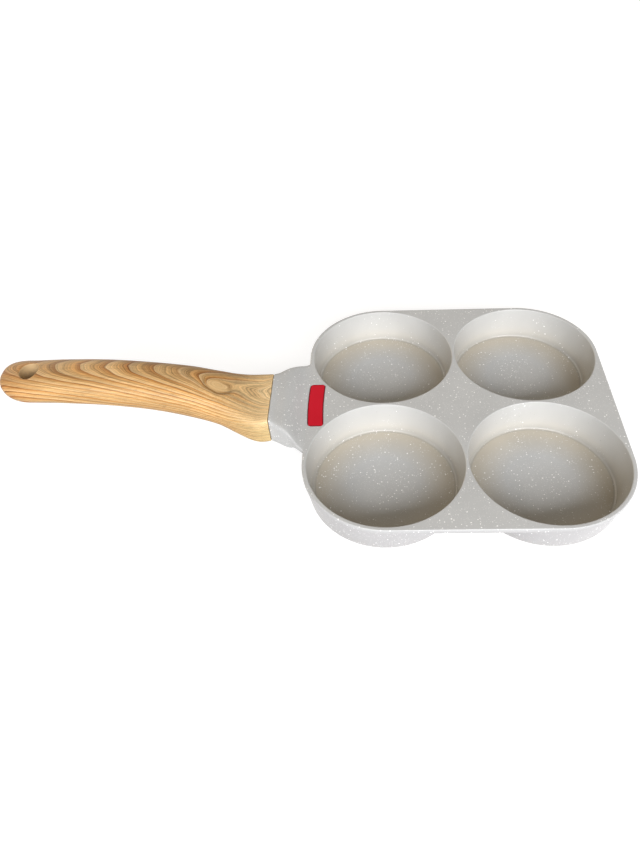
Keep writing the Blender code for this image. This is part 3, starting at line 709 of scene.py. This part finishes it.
def handle_rows():
    """Return the handle's rows: distance from the joint, share of the section and of the end, trim."""
    straight = HANDLE_SECTIONS[-1][0]
    count = math.ceil(straight / HANDLE_SPACING)
    rows = []
    for step in range(JOINT_EDGE_STEPS + 1):
        angle = math.pi / 2 * step / JOINT_EDGE_STEPS
        trim = JOINT_EDGE_ROUND * (1.0 - math.sin(angle))
        rows.append((JOINT_EDGE_ROUND * (1.0 - math.cos(angle)), 1.0, 0.0, trim))
    rows += [(straight * step / count, 1.0, 0.0, 0.0) for step in range(1, count)]
    power = 2 / HANDLE_END_SQUARENESS
    for step in range(HANDLE_END_ROWS):
        angle = math.pi / 2 * (step / HANDLE_END_ROWS) ** HANDLE_END_CROWDING
        rows.append((straight, math.cos(angle) ** power, math.sin(angle) ** power, 0.0))
    rows.append((straight, HANDLE_END_FACE, 1.0, 0.0))
    return rows


def make_grip():
    """Make the handle with its socket, its hanging hole and its screw recess."""
    shape = grown(HANDLE_SEGMENTS, handle_rows(), handle_point)
    crown = HANDLE_HIGH[2] - DECK_TOP
    for corner in shape.verts:
        corner.co.z = min(corner.co.z, crown)
    grip = loose_object("grip", shape)
    shape_with(grip, [make_socket(), make_hang_hole(), make_screw_recess()])
    finish_piece(grip, wood_look(), ["handle"], sharp_angle=50.0)


def make_socket():
    """Return what hollows the handle for the tang."""
    size = (TANG_LENGTH + TANG_ROOT + GAP, TANG_WIDTH + 2 * GAP, TANG_HEIGHT + 2 * GAP)
    return on_tang("socket", rounded_block(size, GAP, segments=2), TANG_LENGTH + GAP)


def make_hang_hole():
    """Return the oval hanging hole's form, flared at both mouths along the handle's curve."""
    half_width, top, bottom, squareness = blend_rows(HANDLE_SECTIONS, HANG_HOLE_ALONG)
    middle, half_height = (top + bottom) / 2, (top - bottom) / 2
    rows = [(HANG_HOLE_MOUTH, 3 * HANG_HOLE_MOUTH)]
    for step in range(HANG_HOLE_STEPS + 1):
        turn = math.pi / 2 * step / HANG_HOLE_STEPS
        rows.append((HANG_HOLE_MOUTH * (1.0 - math.sin(turn)), HANG_HOLE_MOUTH * (math.cos(turn) - 1.0)))
    rings = [(*row, 1.0) for row in rows] + [(*row, -1.0) for row in reversed(rows)]

    def place(angle, flare, rise, side):
        x = (HANG_HOLE_HALF_LENGTH + flare) * math.cos(angle)
        y = (HANG_HOLE_HALF_WIDTH + flare) * math.sin(angle)
        crown = (1.0 - abs(y / half_width) ** squareness) ** (1.0 / squareness)
        return (x, y, middle + side * (half_height * crown + rise))

    shape = grown(HANG_HOLE_SEGMENTS, rings, place)
    return loose_object("hang_hole", shape, (JOINT_X - GAP - HANG_HOLE_ALONG, 0.0, 0.0))


def make_screw_recess():
    """Return the counterbore under the handle and the screw's way into the socket."""
    washer_low, washer_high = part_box("flat_washer")
    through = SCREW_RADIUS + GAP
    bore = (washer_high[1] - washer_low[1]) / 2 + RECESS_CLEARANCE
    seat = washer_high[2] - DECK_TOP + GAP
    low = HANDLE_LOW[2] - DECK_TOP - RECESS_PAST_HANDLE
    line = [(0.0, TANG_CENTRE), (through, TANG_CENTRE), (through, seat)]
    line += [(bore, seat), (bore, low), (0.0, low)]
    return loose_object("screw_recess", spun(drawn(line), segments=48), (SCREW_X, 0.0, 0.0))


# Discs, screw and washers


def make_disc(name, x, y):
    """Make one perforated disc with softly rounded edges."""
    low = CUP_BASE - DISC_PROUD
    high = low + DISC_THICKNESS
    line = [
        (0.0, high, 0.0),
        (DISC_RADIUS, high, DISC_EDGE_ROUND),
        (DISC_RADIUS, low, DISC_EDGE_ROUND),
        (0.0, low, 0.0),
    ]
    disc = loose_object(name, spun(drawn(rounded(line, steps=2)), segments=96))
    holes = bmesh.new()
    for ring_radius, count in DISC_HOLE_RINGS:
        for index in range(count):
            angle = 2 * math.pi * (index + 0.5) / count
            made = bmesh.ops.create_cone(
                holes,
                cap_ends=True,
                segments=24,
                radius1=DISC_HOLE_RADIUS,
                radius2=DISC_HOLE_RADIUS,
                depth=4 * DISC_THICKNESS,
            )
            spot = (ring_radius * math.cos(angle), ring_radius * math.sin(angle), CUP_BASE)
            bmesh.ops.translate(holes, verts=made["verts"], vec=spot)
    shape_with(disc, [loose_object("holes", holes)])
    disc.data.transform(Matrix.Translation((x, y, 0.0)))
    finish_piece(disc, disc_steel(name, x, y), ["base_" + name])


def make_discs():
    """Make the disc under each cup."""
    for side_name, side in (("left", -1), ("right", 1)):
        for row_name, row in (("front", -1), ("rear", 1)):
            make_disc(f"disc_{row_name}_{side_name}", side * CUP_OFFSET, row * CUP_OFFSET)


def make_screw():
    """Make the screw with its cross recess."""
    top = SCREW_HIGH[2] - DECK_TOP
    low = SCREW_LOW[2] - DECK_TOP
    seat = low + SCREW_HEAD_HEIGHT
    line = [
        (0.0, top, 0.0),
        (SCREW_RADIUS - SCREW_TIP_CHAMFER, top, 0.0),
        (SCREW_RADIUS, top - SCREW_TIP_CHAMFER, 0.0),
        (SCREW_RADIUS, seat, 0.0),
        (SCREW_HEAD_RADIUS, seat, SCREW_HEAD_EDGE_ROUND),
        (SCREW_HEAD_RADIUS, low, SCREW_HEAD_ROUND),
        (0.0, low, 0.0),
    ]
    shape = spun(drawn(rounded(line, steps=6)), segments=64)
    screw = loose_object("screw", shape, (SCREW_X, 0.0, 0.0))
    cross = []
    for length, width in ((CROSS_LENGTH, CROSS_WIDTH), (CROSS_WIDTH, CROSS_LENGTH)):
        slot = rounded_block((length, width, 2 * CROSS_DEPTH), CROSS_CORNER, segments=1)
        cross.append(loose_object("cross", slot, (SCREW_X, 0.0, low)))
    shape_with(screw, cross)
    finish = zinc("screw_zinc", tone=0.62, roughness=0.30)
    finish_piece(screw, finish, ["handle_screw"])


def washer_section(washer):
    """Return a washer's radius and its section with rounded corners, standing in the XZ plane."""
    low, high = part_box(washer)
    radius = (high[1] - low[1]) / 2
    hole = SCREW_RADIUS + GAP
    base, top = low[2] - DECK_TOP, high[2] - DECK_TOP
    shape = drawn([(hole, base), (radius, base), (radius, top), (hole, top)], closed=True)
    bevel(shape, shape.verts[:], WASHER_EDGE_ROUND, segments=2, affect="VERTICES")
    return radius, shape


def make_flat_washer():
    """Make the plain washer with softly rounded edges."""
    _, shape = washer_section("flat_washer")
    washer = loose_object("washer", spun(shape, segments=64), (SCREW_X, 0.0, 0.0))
    finish = zinc("washer_zinc", tone=0.60, roughness=0.34)
    finish_piece(washer, finish, ["flat_washer"])


def make_split_washer():
    """Make the spring washer: a ring that stops short of closing."""
    radius, shape = washer_section("spring_washer")
    split = SPRING_SPLIT / radius
    bmesh.ops.contextual_create(shape, geom=shape.edges[:])
    bmesh.ops.rotate(shape, verts=shape.verts, matrix=Matrix.Rotation(split / 2, 3, "Z"))
    bmesh.ops.spin(
        shape, geom=shape.faces[:], axis=(0.0, 0.0, 1.0), angle=2 * math.pi - split, steps=60
    )
    washer = loose_object("split_washer", shape, (SCREW_X, 0.0, 0.0))
    finish = zinc("spring_zinc", tone=0.48, roughness=0.36)
    finish_piece(washer, finish, ["spring_washer"])


# Node helpers


def plug(tree, target, inputs):
    """Give a node's inputs, by name or number, their values, or link them to other nodes' outputs."""
    for name, value in inputs.items():
        socket = target.inputs[name.replace("_", " ") if isinstance(name, str) else name]
        if isinstance(value, bpy.types.NodeSocket):
            tree.links.new(value, socket)
        else:
            socket.default_value = value


def node(tree, kind, settings=None, **inputs):
    """Add a shader node with its settings and inputs."""
    made = tree.nodes.new("ShaderNode" + kind)
    for name, value in (settings or {}).items():
        setattr(made, name, value)
    plug(tree, made, inputs)
    return made


def maths(tree, operation, *values):
    """Add a Math node and return its output."""
    made = node(tree, "Math", {"operation": operation})
    plug(tree, made, dict(enumerate(values)))
    return made.outputs[0]


def vector_maths(tree, operation, first, second):
    """Add a Vector Math node and return its vector output."""
    made = node(tree, "VectorMath", {"operation": operation})
    plug(tree, made, {0: first, 1: second})
    return made.outputs["Vector"]


def squares(tree, first, second):
    """Return the sum of two values' squares."""
    return maths(tree, "MULTIPLY_ADD", first, first, maths(tree, "MULTIPLY", second, second))


def length_of(tree, across, along):
    """Return the length of a line with these two parts."""
    return maths(tree, "SQRT", squares(tree, across, along))


def in_sizes(tree, value, middle, size):
    """Return how many sizes a value is past a middle."""
    return maths(tree, "DIVIDE", maths(tree, "SUBTRACT", value, middle), size)


def map_range(tree, value, low, high, to_low=0.0, to_high=1.0):
    """Return a value that goes from one range to another and stops at its ends."""
    ends = {"From Min": low, "From Max": high, "To Min": to_low, "To Max": to_high}
    return node(tree, "MapRange", Value=value, **ends).outputs[0]


def axes_of(tree, place):
    """Return a place's three coordinates."""
    return node(tree, "SeparateXYZ", Vector=place).outputs


def mix_colour(tree, share, first, second, blend="MIX"):
    """Mix two colours and return the result."""
    mixer = node(tree, "Mix", {"data_type": "RGBA", "blend_type": blend})
    plug(tree, mixer, {0: share, 6: first, 7: second})
    return mixer.outputs[2]


def ramp(tree, value, stops):
    """Add a colour ramp with stops of place and grey or colour; return its colour output."""
    made = node(tree, "ValToRGB", Fac=value)
    elements = made.color_ramp.elements
    while len(elements) < len(stops):
        elements.new(0.5)
    for element, (place, colour) in zip(elements, stops):
        element.position = place
        element.color = colour if isinstance(colour, tuple) else (colour, colour, colour, 1.0)
    return made.outputs["Color"]


def noise(tree, place, scale=1.0, detail=2.0):
    """Add a noise and return its grey output."""
    return node(tree, "TexNoise", Vector=place, Scale=scale, Detail=detail).outputs["Fac"]


def noise_on(tree, across, along, fine_across, fine_along, detail=2.0):
    """Return a noise over two values, from how fine it is by each of them."""
    x = maths(tree, "MULTIPLY", across, fine_across)
    y = maths(tree, "MULTIPLY", along, fine_along)
    return noise(tree, node(tree, "CombineXYZ", X=x, Y=y).outputs[0], detail=detail)


def stretched_noise(tree, place, along, across):
    """Return a noise that is drawn out along the handle."""
    return noise(tree, vector_maths(tree, "MULTIPLY", place, (along, across, across)))


def new_group(name, inputs, outputs):
    """Start a shader node group and return its tree, what it is given and what it puts out."""
    tree = bpy.data.node_groups.new(name, "ShaderNodeTree")
    for socket_name, kind, value in inputs:
        socket = tree.interface.new_socket(socket_name, in_out="INPUT", socket_type="NodeSocket" + kind)
        if value is not None:
            socket.default_value = value
    for socket_name, kind in outputs:
        tree.interface.new_socket(socket_name, in_out="OUTPUT", socket_type="NodeSocket" + kind)
    return tree, tree.nodes.new("NodeGroupInput").outputs, tree.nodes.new("NodeGroupOutput")


def place_group(tree, name, build, **inputs):
    """Place a node group, built the first time, with its own values; return its outputs."""
    group = bpy.data.node_groups.get(name) or build()
    return node(tree, "Group", {"node_tree": group}, **inputs).outputs


# Finishes


def specks_group():
    """Build a spray of specks: odd-shaped flecks of uneven size, thicker in some places."""
    inputs = [
        ("Place", "Vector", None),
        ("Density", "Float", 400.0),
        ("Size", "Float", 0.2),
        ("Share", "Float", 0.3),
        ("Thick", "Float", 0.0),
    ]
    tree, given, result = new_group("Specks", inputs, [("Mask", "Float")])
    place = given["Place"]
    wobble = node(tree, "TexNoise", Vector=place, Scale=SPECK_WOBBLE_SCALE, Detail=2.0).outputs["Color"]
    shift = vector_maths(tree, "MULTIPLY", wobble, (SPECK_WOBBLE, SPECK_WOBBLE, SPECK_WOBBLE))
    moved = vector_maths(tree, "ADD", place, shift)
    cells = node(tree, "TexVoronoi", Vector=moved, Scale=given["Density"]).outputs
    chance = node(tree, "SeparateColor", Color=cells["Color"]).outputs
    patchy = maths(tree, "MULTIPLY_ADD", noise(tree, place, SPECK_PATCH_SCALE), *SPECK_PATCHES)
    amount = maths(tree, "ADD", patchy, given["Thick"])
    limit = maths(tree, "MULTIPLY", amount, given["Share"])
    kept = maths(tree, "LESS_THAN", chance["Red"], limit)
    uneven = maths(tree, "ADD", chance["Green"], SPECK_LEAST_SIZE)
    size = maths(tree, "MULTIPLY", given["Size"], uneven)
    edge = maths(tree, "DIVIDE", maths(tree, "SUBTRACT", size, cells["Distance"]), SPECK_SOFTNESS)
    soft = node(tree, "Clamp", Value=edge).outputs[0]
    plug(tree, result, {"Mask": maths(tree, "MULTIPLY", soft, kept)})
    return tree


def fine_surface_group():
    """Build the fine unevenness that the coat, the enamel and the plated steel share."""
    inputs = [
        ("Place", "Vector", None),
        ("Scale", "Float", 900.0),
        ("Depth", "Float", 0.00002),
        ("Roughness", "Float", 0.4),
        ("Spread", "Float", 0.08),
    ]
    outputs = [("Roughness", "Float"), ("Height", "Float"), ("Cloud", "Float")]
    tree, given, result = new_group("Fine Surface", inputs, outputs)
    grain = noise(tree, given["Place"], given["Scale"], 3.0)
    cloud = noise(tree, given["Place"], CLOUD_SCALE, 3.0)
    uneven = maths(tree, "MULTIPLY", maths(tree, "SUBTRACT", cloud, 0.5), given["Spread"])
    roughness = maths(tree, "ADD", uneven, given["Roughness"])
    height = maths(tree, "MULTIPLY", grain, given["Depth"])
    plug(tree, result, {"Roughness": roughness, "Height": height, "Cloud": cloud})
    return tree


def new_material(name):
    """Start a material and return it with its tree, its shader and its object coordinates."""
    material = bpy.data.materials.new(name)
    material.use_nodes = True
    tree = material.node_tree
    place = node(tree, "TexCoord").outputs["Object"]
    return material, tree, tree.nodes["Principled BSDF"], place


def fine_surface(tree, shader, place, **values):
    """Place the fine unevenness, feed the shader's roughness and return the group's outputs."""
    surface = place_group(tree, "Fine Surface", fine_surface_group, Place=place, **values)
    plug(tree, shader, {"Roughness": surface["Roughness"]})
    return surface


def add_bump(tree, shader, height):
    """Feed a height in metres to the shader's normal."""
    bump = node(tree, "Bump", Height=height, Strength=1.0, Distance=1.0)
    plug(tree, shader, {"Normal": bump.outputs["Normal"]})


def from_cup_axis(tree, place):
    """Return the distance to the nearest cup's axis."""
    x, y, _ = axes_of(tree, place)
    from_middle = maths(tree, "ABSOLUTE", maths(tree, "SUBTRACT", x, PAN_MIDDLE_X))
    across = maths(tree, "SUBTRACT", from_middle, CUP_OFFSET)
    along = maths(tree, "SUBTRACT", maths(tree, "ABSOLUTE", y), CUP_OFFSET)
    return length_of(tree, across, along)


def outer_side(tree, place, from_axis):
    """Return one on the outer side of the cups and the deck, and nought on top and inside the cups."""
    _, _, level = axes_of(tree, place)
    wall_middle_at_foot = CUP_RADIUS - CUP_RIM_ROUND + CUP_WALL / 2 - DECK_TOP * CUP_DRAFT
    wall_middle = maths(tree, "MULTIPLY_ADD", level, CUP_DRAFT, wall_middle_at_foot)
    beyond_wall = maths(tree, "GREATER_THAN", from_axis, wall_middle)
    under_floor = maths(tree, "LESS_THAN", level, DECK_TOP + (CUP_BASE - CUP_DEPTH) / 2)
    below_top = maths(tree, "LESS_THAN", level, DECK_TOP - COAT_BELOW_TOP)
    return maths(tree, "MULTIPLY", below_top, maths(tree, "MAXIMUM", beyond_wall, under_floor))


def outer_tint_and_shade(tree, place, outside):
    """Return the share of the outer side's tint, partly its own coat and partly painted shade: it grows
    down the deck's edge and fades on the neck.
    """
    x, _, z = axes_of(tree, place)
    down = map_range(tree, z, DECK_TOP, DECK_TOP - DECK_THICKNESS)
    deck_end = PAN_MIDDLE_X - DECK_HALF
    off_neck = map_range(tree, x, deck_end - COAT_TINT_ON_NECK, deck_end)
    return maths(tree, "MULTIPLY", outside, maths(tree, "MULTIPLY", down, off_neck))


def speck_layer(tree, place, density, size, share, thick=0.0):
    """Place one layer of specks and return its mask."""
    values = {"Density": density, "Size": size, "Share": share, "Thick": thick}
    return place_group(tree, "Specks", specks_group, Place=place, **values)["Mask"]


def stone_coat():
    """Pale grey non-stick coat: white flecks of three sizes, thickest mid-floor and on the deck; painted
    shade in the cups' corners.
    """
    material, tree, shader, place = new_material("stone_coat")
    surface = fine_surface(tree, shader, place, Scale=1500.0, Depth=0.00003, Roughness=0.36, Spread=0.08)
    from_axis = from_cup_axis(tree, place)
    reach = maths(tree, "DIVIDE", from_axis, COAT_REACH)
    outside = outer_side(tree, place, from_axis)
    colour = ramp(tree, surface["Cloud"], COAT_TONES)
    # Painted warm shade towards the cups' corners, painted shade in the crease, and the outer side's tint,
    # partly its own coat and partly painted shade
    for share, tint in (
        (ramp(tree, reach, PAINTED_CORNER_SHADE), PAINTED_CORNER_SHADE_TINT),
        (ramp(tree, reach, PAINTED_CREASE_SHADE), PAINTED_CREASE_SHADE_TINT),
        (outer_tint_and_shade(tree, place, outside), COAT_OUTER_TINT_AND_SHADE),
    ):
        colour = mix_colour(tree, share, colour, tint, "MULTIPLY")
    inner = maths(tree, "MULTIPLY", maths(tree, "SUBTRACT", 1.0, outside), ramp(tree, reach, COAT_SPRAY))
    sprayed = maths(tree, "MULTIPLY_ADD", outside, COAT_OUTER_SPRAY, inner)
    thick = maths(tree, "MULTIPLY_ADD", sprayed, *SPRAY_THICKNESS)
    colour = mix_colour(tree, speck_layer(tree, place, *DARK_SPECKS), colour, DARK_SPECK_TONE)
    height = surface["Height"]
    for density, size, share, tone in SPECK_LAYERS:
        mask = speck_layer(tree, place, density, size, share, thick)
        colour = mix_colour(tree, mask, colour, (tone, tone, tone, 1.0))
        height = maths(tree, "MULTIPLY_ADD", mask, SPECK_HEIGHT, height)
    gloss = {"Specular IOR Level": 0.25, "Coat Weight": 0.60, "Coat Roughness": 0.20}
    plug(tree, shader, {"Base Color": colour, **gloss})
    add_bump(tree, shader, height)
    return material


def crown_height(tree, distance):
    """Return the height of the handle's crown at a distance from the joint."""
    curve = node(tree, "FloatCurve", Value=maths(tree, "DIVIDE", distance, HANDLE_LENGTH))
    points = curve.mapping.curves[0].points
    spots = [(along / HANDLE_LENGTH, top / RING_HEIGHT_SCALE) for along, _, top, _, _ in HANDLE_SECTIONS]
    points[0].location = spots[0]
    points[-1].location = (1.0, spots[-1][1])
    for spot in spots[1:]:
        points.new(*spot)
    curve.mapping.update()
    return maths(tree, "MULTIPLY_ADD", curve.outputs[0], RING_HEIGHT_SCALE, DECK_TOP)


def ring_field(tree, place):
    """Return the rings' field with a place's distance from the joint, drop below the crown and knot.

    The rings' arches stand along the crown with their peaks towards the handle's end. The knot comes as
    how near its heart a place is, and how far beside it.
    """
    x, y, z = axes_of(tree, place)
    distance = maths(tree, "SUBTRACT", PAN_MIDDLE_X + JOINT_X - GAP, x)
    drop = maths(tree, "SUBTRACT", crown_height(tree, distance), z)
    off_heart = squares(tree, drop, maths(tree, "SUBTRACT", y, RING_HEART_Y))
    steepness = maths(tree, "MULTIPLY_ADD", off_heart, RING_STEEPENING, RING_STEEPNESS)
    plain = maths(tree, "MULTIPLY_ADD", off_heart, steepness, distance)
    knot_x = in_sizes(tree, x, PAN_MIDDLE_X + KNOT_PLACE[0], KNOT_SIZE[0])
    knot_y = in_sizes(tree, y, KNOT_PLACE[1], KNOT_SIZE[1])
    uneven = noise(tree, place, KNOT_UNEVEN_SCALE, 1.0)
    falling = maths(tree, "MULTIPLY_ADD", uneven, *KNOT_FALL)
    knot = maths(tree, "EXPONENT", maths(tree, "MULTIPLY", squares(tree, knot_x, knot_y), falling))
    knotted = maths(tree, "MULTIPLY_ADD", knot, -KNOT_DEPTH, plain)
    sway = stretched_noise(tree, place, *RING_SWAY_SCALE)
    return maths(tree, "MULTIPLY_ADD", sway, RING_SWAY, knotted), distance, drop, knot, knot_y


def ring_tones(tree, field, distance):
    """Return the tones of the growth rings, fainter near the joint, with the finer rings between them."""
    turns = maths(tree, "DIVIDE", field, RING_SPACING)
    rings = ramp(tree, maths(tree, "FRACT", turns), WOOD_RING_TONES)
    number = maths(tree, "FLOOR", turns)
    luck = node(tree, "TexWhiteNoise", {"noise_dimensions": "1D"}, W=number).outputs["Value"]
    strength = maths(tree, "MULTIPLY_ADD", luck, *RING_STRENGTH)
    strength = maths(tree, "MULTIPLY", strength, map_range(tree, distance, *RING_FADE))
    colour = mix_colour(tree, strength, WOOD_PALE, rings)
    for count, share in FINE_RINGS:
        finer = maths(tree, "FRACT", maths(tree, "MULTIPLY", turns, count))
        colour = mix_colour(tree, share, colour, ramp(tree, finer, FINE_RING_TONES), "MULTIPLY")
    return colour


def end_tints(tree, colour, distance, drop):
    """Return the print's colour with its tints by the joint, the top made lighter than the flanks as
    painted light, and at the tip.
    """
    on_top = map_range(tree, drop, *WOOD_JOINT_DROPS)
    joint_tint_and_light = mix_colour(tree, on_top, WOOD_JOINT_FLANK_TINT_AND_SHADE, WOOD_JOINT_TOP_TINT_AND_LIGHT)
    by_joint = map_range(tree, distance, WOOD_JOINT_REACH, 0.0)
    colour = mix_colour(tree, by_joint, colour, joint_tint_and_light, "MULTIPLY")
    tip_tint = ramp(tree, maths(tree, "DIVIDE", distance, HANDLE_LENGTH), WOOD_TIP_TINTS)
    return mix_colour(tree, 1.0, colour, tip_tint, "MULTIPLY")


def knot_tones(tree, colour, knot, beside_knot):
    """Return the print's colour with the knot's dark rim, deepest in front, and its paler heart."""
    in_front = map_range(tree, beside_knot, *KNOT_RIM_FADE)
    colour = mix_colour(tree, in_front, colour, ramp(tree, knot, KNOT_RIM), "MULTIPLY")
    return mix_colour(tree, map_range(tree, knot, *KNOT_HEART), colour, KNOT_TONE)


def in_hang_hole(tree, distance, place):
    """Return one inside the hanging hole, where the print doesn't reach, and nought outside."""
    _, y, _ = axes_of(tree, place)
    along = in_sizes(tree, distance, HANG_HOLE_ALONG, HANG_HOLE_HALF_LENGTH)
    across = maths(tree, "DIVIDE", y, HANG_HOLE_HALF_WIDTH)
    return map_range(tree, length_of(tree, across, along), *WOOD_HOLE_EDGE)


def wood_look():
    """Honey-coloured wood print: arched growth rings, a knot, fine fibres and pores."""
    material, tree, shader, place = new_material("wood_look")
    field, distance, drop, knot, beside_knot = ring_field(tree, place)
    colour = end_tints(tree, ring_tones(tree, field, distance), distance, drop)
    fibres = stretched_noise(tree, place, *FIBRE_SCALE)
    marks = [(noise_on(tree, field, distance, *scale), tones) for scale, tones in RING_MARKS]
    marks += [(fibres, FIBRE_TONES)]
    marks += [(stretched_noise(tree, place, *scale), tones) for scale, tones in HANDLE_MARKS]
    for mark, tones in marks:
        colour = mix_colour(tree, 1.0, colour, ramp(tree, mark, tones), "MULTIPLY")
    colour = knot_tones(tree, colour, knot, beside_knot)
    colour = mix_colour(tree, in_hang_hole(tree, distance, place), colour, WOOD_HOLE_TONE)
    roughness = maths(tree, "MULTIPLY_ADD", fibres, *WOOD_ROUGHNESS)
    plug(tree, shader, {"Base Color": colour, "Roughness": roughness, "Specular IOR Level": 0.16})
    add_bump(tree, shader, maths(tree, "MULTIPLY", fibres, FIBRE_HEIGHT))
    return material


def from_plaque_edge(tree, place):
    """Return how far in from the plaque's edge a place is."""
    x, y, _ = axes_of(tree, place)
    half_length = PLAQUE_LENGTH / 2
    middle = PAN_MIDDLE_X + PLAQUE_MIDDLE_X - PLAQUE_BOW
    bow = maths(tree, "MULTIPLY", maths(tree, "MULTIPLY", y, y), PLAQUE_BOW / half_length**2)
    off_middle = maths(tree, "SUBTRACT", maths(tree, "SUBTRACT", x, middle), bow)
    from_side = maths(tree, "SUBTRACT", PLAQUE_WIDTH / 2, maths(tree, "ABSOLUTE", off_middle))
    from_end = maths(tree, "SUBTRACT", half_length, maths(tree, "ABSOLUTE", y))
    return maths(tree, "MINIMUM", from_side, from_end)


def red_enamel():
    """Plain red, satin, with painted shade along its edge."""
    material, tree, shader, place = new_material("red_enamel")
    surface = fine_surface(tree, shader, place, Scale=1200.0, Depth=0.00001, Roughness=0.36, Spread=0.10)
    # Painted shade along the plaque's edge
    inside = map_range(tree, from_plaque_edge(tree, place), RED_EDGE_SHADE_WIDTH / 2, RED_EDGE_SHADE_WIDTH)
    colour = mix_colour(tree, inside, RED_EDGE_SHADE_TONE, ramp(tree, surface["Cloud"], RED_TONES))
    plug(tree, shader, {"Base Color": colour, "Specular IOR Level": 0.10})
    add_bump(tree, shader, surface["Height"])
    return material


def disc_steel(name, x, y):
    """Satin steel, brushed in circles round the disc's own middle."""
    material, tree, shader, place = new_material(name + "_steel")
    shift = (-x - PAN_MIDDLE_X, -y, 0.0)
    centred = node(tree, "Mapping", {"vector_type": "POINT"}, Vector=place, Location=shift)
    across, along, _ = axes_of(tree, centred.outputs[0])
    angle = maths(tree, "ARCTAN2", along, across)
    lines = noise_on(tree, length_of(tree, across, along), angle, *BRUSH_SCALE)
    roughness = maths(tree, "MULTIPLY_ADD", lines, *DISC_ROUGHNESS)
    tone = ramp(tree, lines, DISC_TONES)
    plug(tree, shader, {"Base Color": tone, "Metallic": 1.0, "Roughness": roughness})
    add_bump(tree, shader, maths(tree, "MULTIPLY", lines, BRUSH_HEIGHT))
    return material


def zinc(name, tone, roughness):
    """Zinc-plated steel with a faint cloudiness."""
    material, tree, shader, place = new_material(name)
    surface = fine_surface(
        tree, shader, place, Scale=2500.0, Depth=0.000008, Roughness=roughness, Spread=0.12
    )
    colour = ramp(tree, surface["Cloud"], [(0.3, tone - ZINC_CLOUD), (0.7, tone + ZINC_CLOUD)])
    plug(tree, shader, {"Base Color": colour, "Metallic": 1.0})
    add_bump(tree, shader, surface["Height"])
    return material


# Studio


def seen_rays(tree):
    """Return one where a surface is seen, straight or in a reflection, and nought where it gives light."""
    path = node(tree, "LightPath").outputs
    seen = maths(tree, "MAXIMUM", path["Is Camera Ray"], path["Is Glossy Ray"])
    return maths(tree, "MAXIMUM", seen, path["Is Transmission Ray"])


def make_floor():
    """Make the pale floor: white where no shadow falls, and clear from below."""
    shape = bmesh.new()
    bmesh.ops.create_grid(shape, x_segments=1, y_segments=1, size=FLOOR_HALF)
    floor = loose_object("floor", shape, (0.0, 0.0, -FLOOR_DROP))
    material, tree, shader, _ = new_material("floor_white")
    behind = node(tree, "NewGeometry").outputs["Backfacing"]
    glow = maths(tree, "MULTIPLY", seen_rays(tree), FLOOR_GLOW)
    plug(tree, shader, {"Base Color": FLOOR_TONE, "Roughness": FLOOR_ROUGHNESS})
    plug(tree, shader, {"Emission Color": WHITE, "Emission Strength": glow})
    plug(tree, shader, {"Alpha": maths(tree, "SUBTRACT", 1.0, behind)})
    floor.data.materials.append(material)


def turn_to(aside, above):
    """Return the turn that looks at the pan from an angle off its front and one above the floor."""
    return Matrix.Rotation(aside, 4, "Z") @ Matrix.Rotation(math.pi / 2 - above, 4, "X")


def make_lamp(name, aside, above, distance, size, power, colour):
    """Make a soft lamp that looks at the pan from a side and a height, both in degrees."""
    data = bpy.data.lights.new(name, "AREA")
    data.shape = "RECTANGLE"
    data.size, data.size_y = size
    data.energy = power
    data.color = colour
    turn = turn_to(math.radians(aside), math.radians(above))
    add_object(name, data).matrix_world = turn @ Matrix.Translation((0.0, 0.0, distance))


def make_light():
    """Light the pan low from the front, with a weak warm lamp from the rear left and a white backdrop."""
    for lamp in LAMPS:
        make_lamp(*lamp)
    world = bpy.data.worlds.new("studio")
    bpy.context.scene.world = world
    world.use_nodes = True
    tree = world.node_tree
    seen = seen_rays(tree)
    strength = maths(tree, "MULTIPLY_ADD", seen, 1.0 - FILL_STRENGTH, FILL_STRENGTH)
    backdrop = {"Color": mix_colour(tree, seen, FILL_TONE, WHITE), "Strength": strength}
    plug(tree, tree.nodes["Background"], backdrop)


def make_camera():
    """Stand the camera where the photograph was taken."""
    data = bpy.data.cameras.new("camera")
    data.lens = CAMERA_LENS
    data.sensor_width = CAMERA_SENSOR
    data.shift_x, data.shift_y = CAMERA_SHIFT
    data.clip_start = CAMERA_NEAR
    camera = add_object("camera", data)
    stand = Matrix.Translation((PAN_MIDDLE_X, 0.0, DECK_TOP)) @ Matrix.Translation(CAMERA_PLACE)
    aim = turn_to(CAMERA_ASIDE, CAMERA_ABOVE)
    camera.matrix_world = stand @ aim @ Matrix.Rotation(CAMERA_ROLL, 4, "Z")
    bpy.context.scene.camera = camera


make_cast_body()
make_plaque()
make_grip()
make_discs()
make_screw()
make_flat_washer()
make_split_washer()
make_floor()
make_light()
make_camera()
bpy.context.scene.view_settings.view_transform = "Standard"
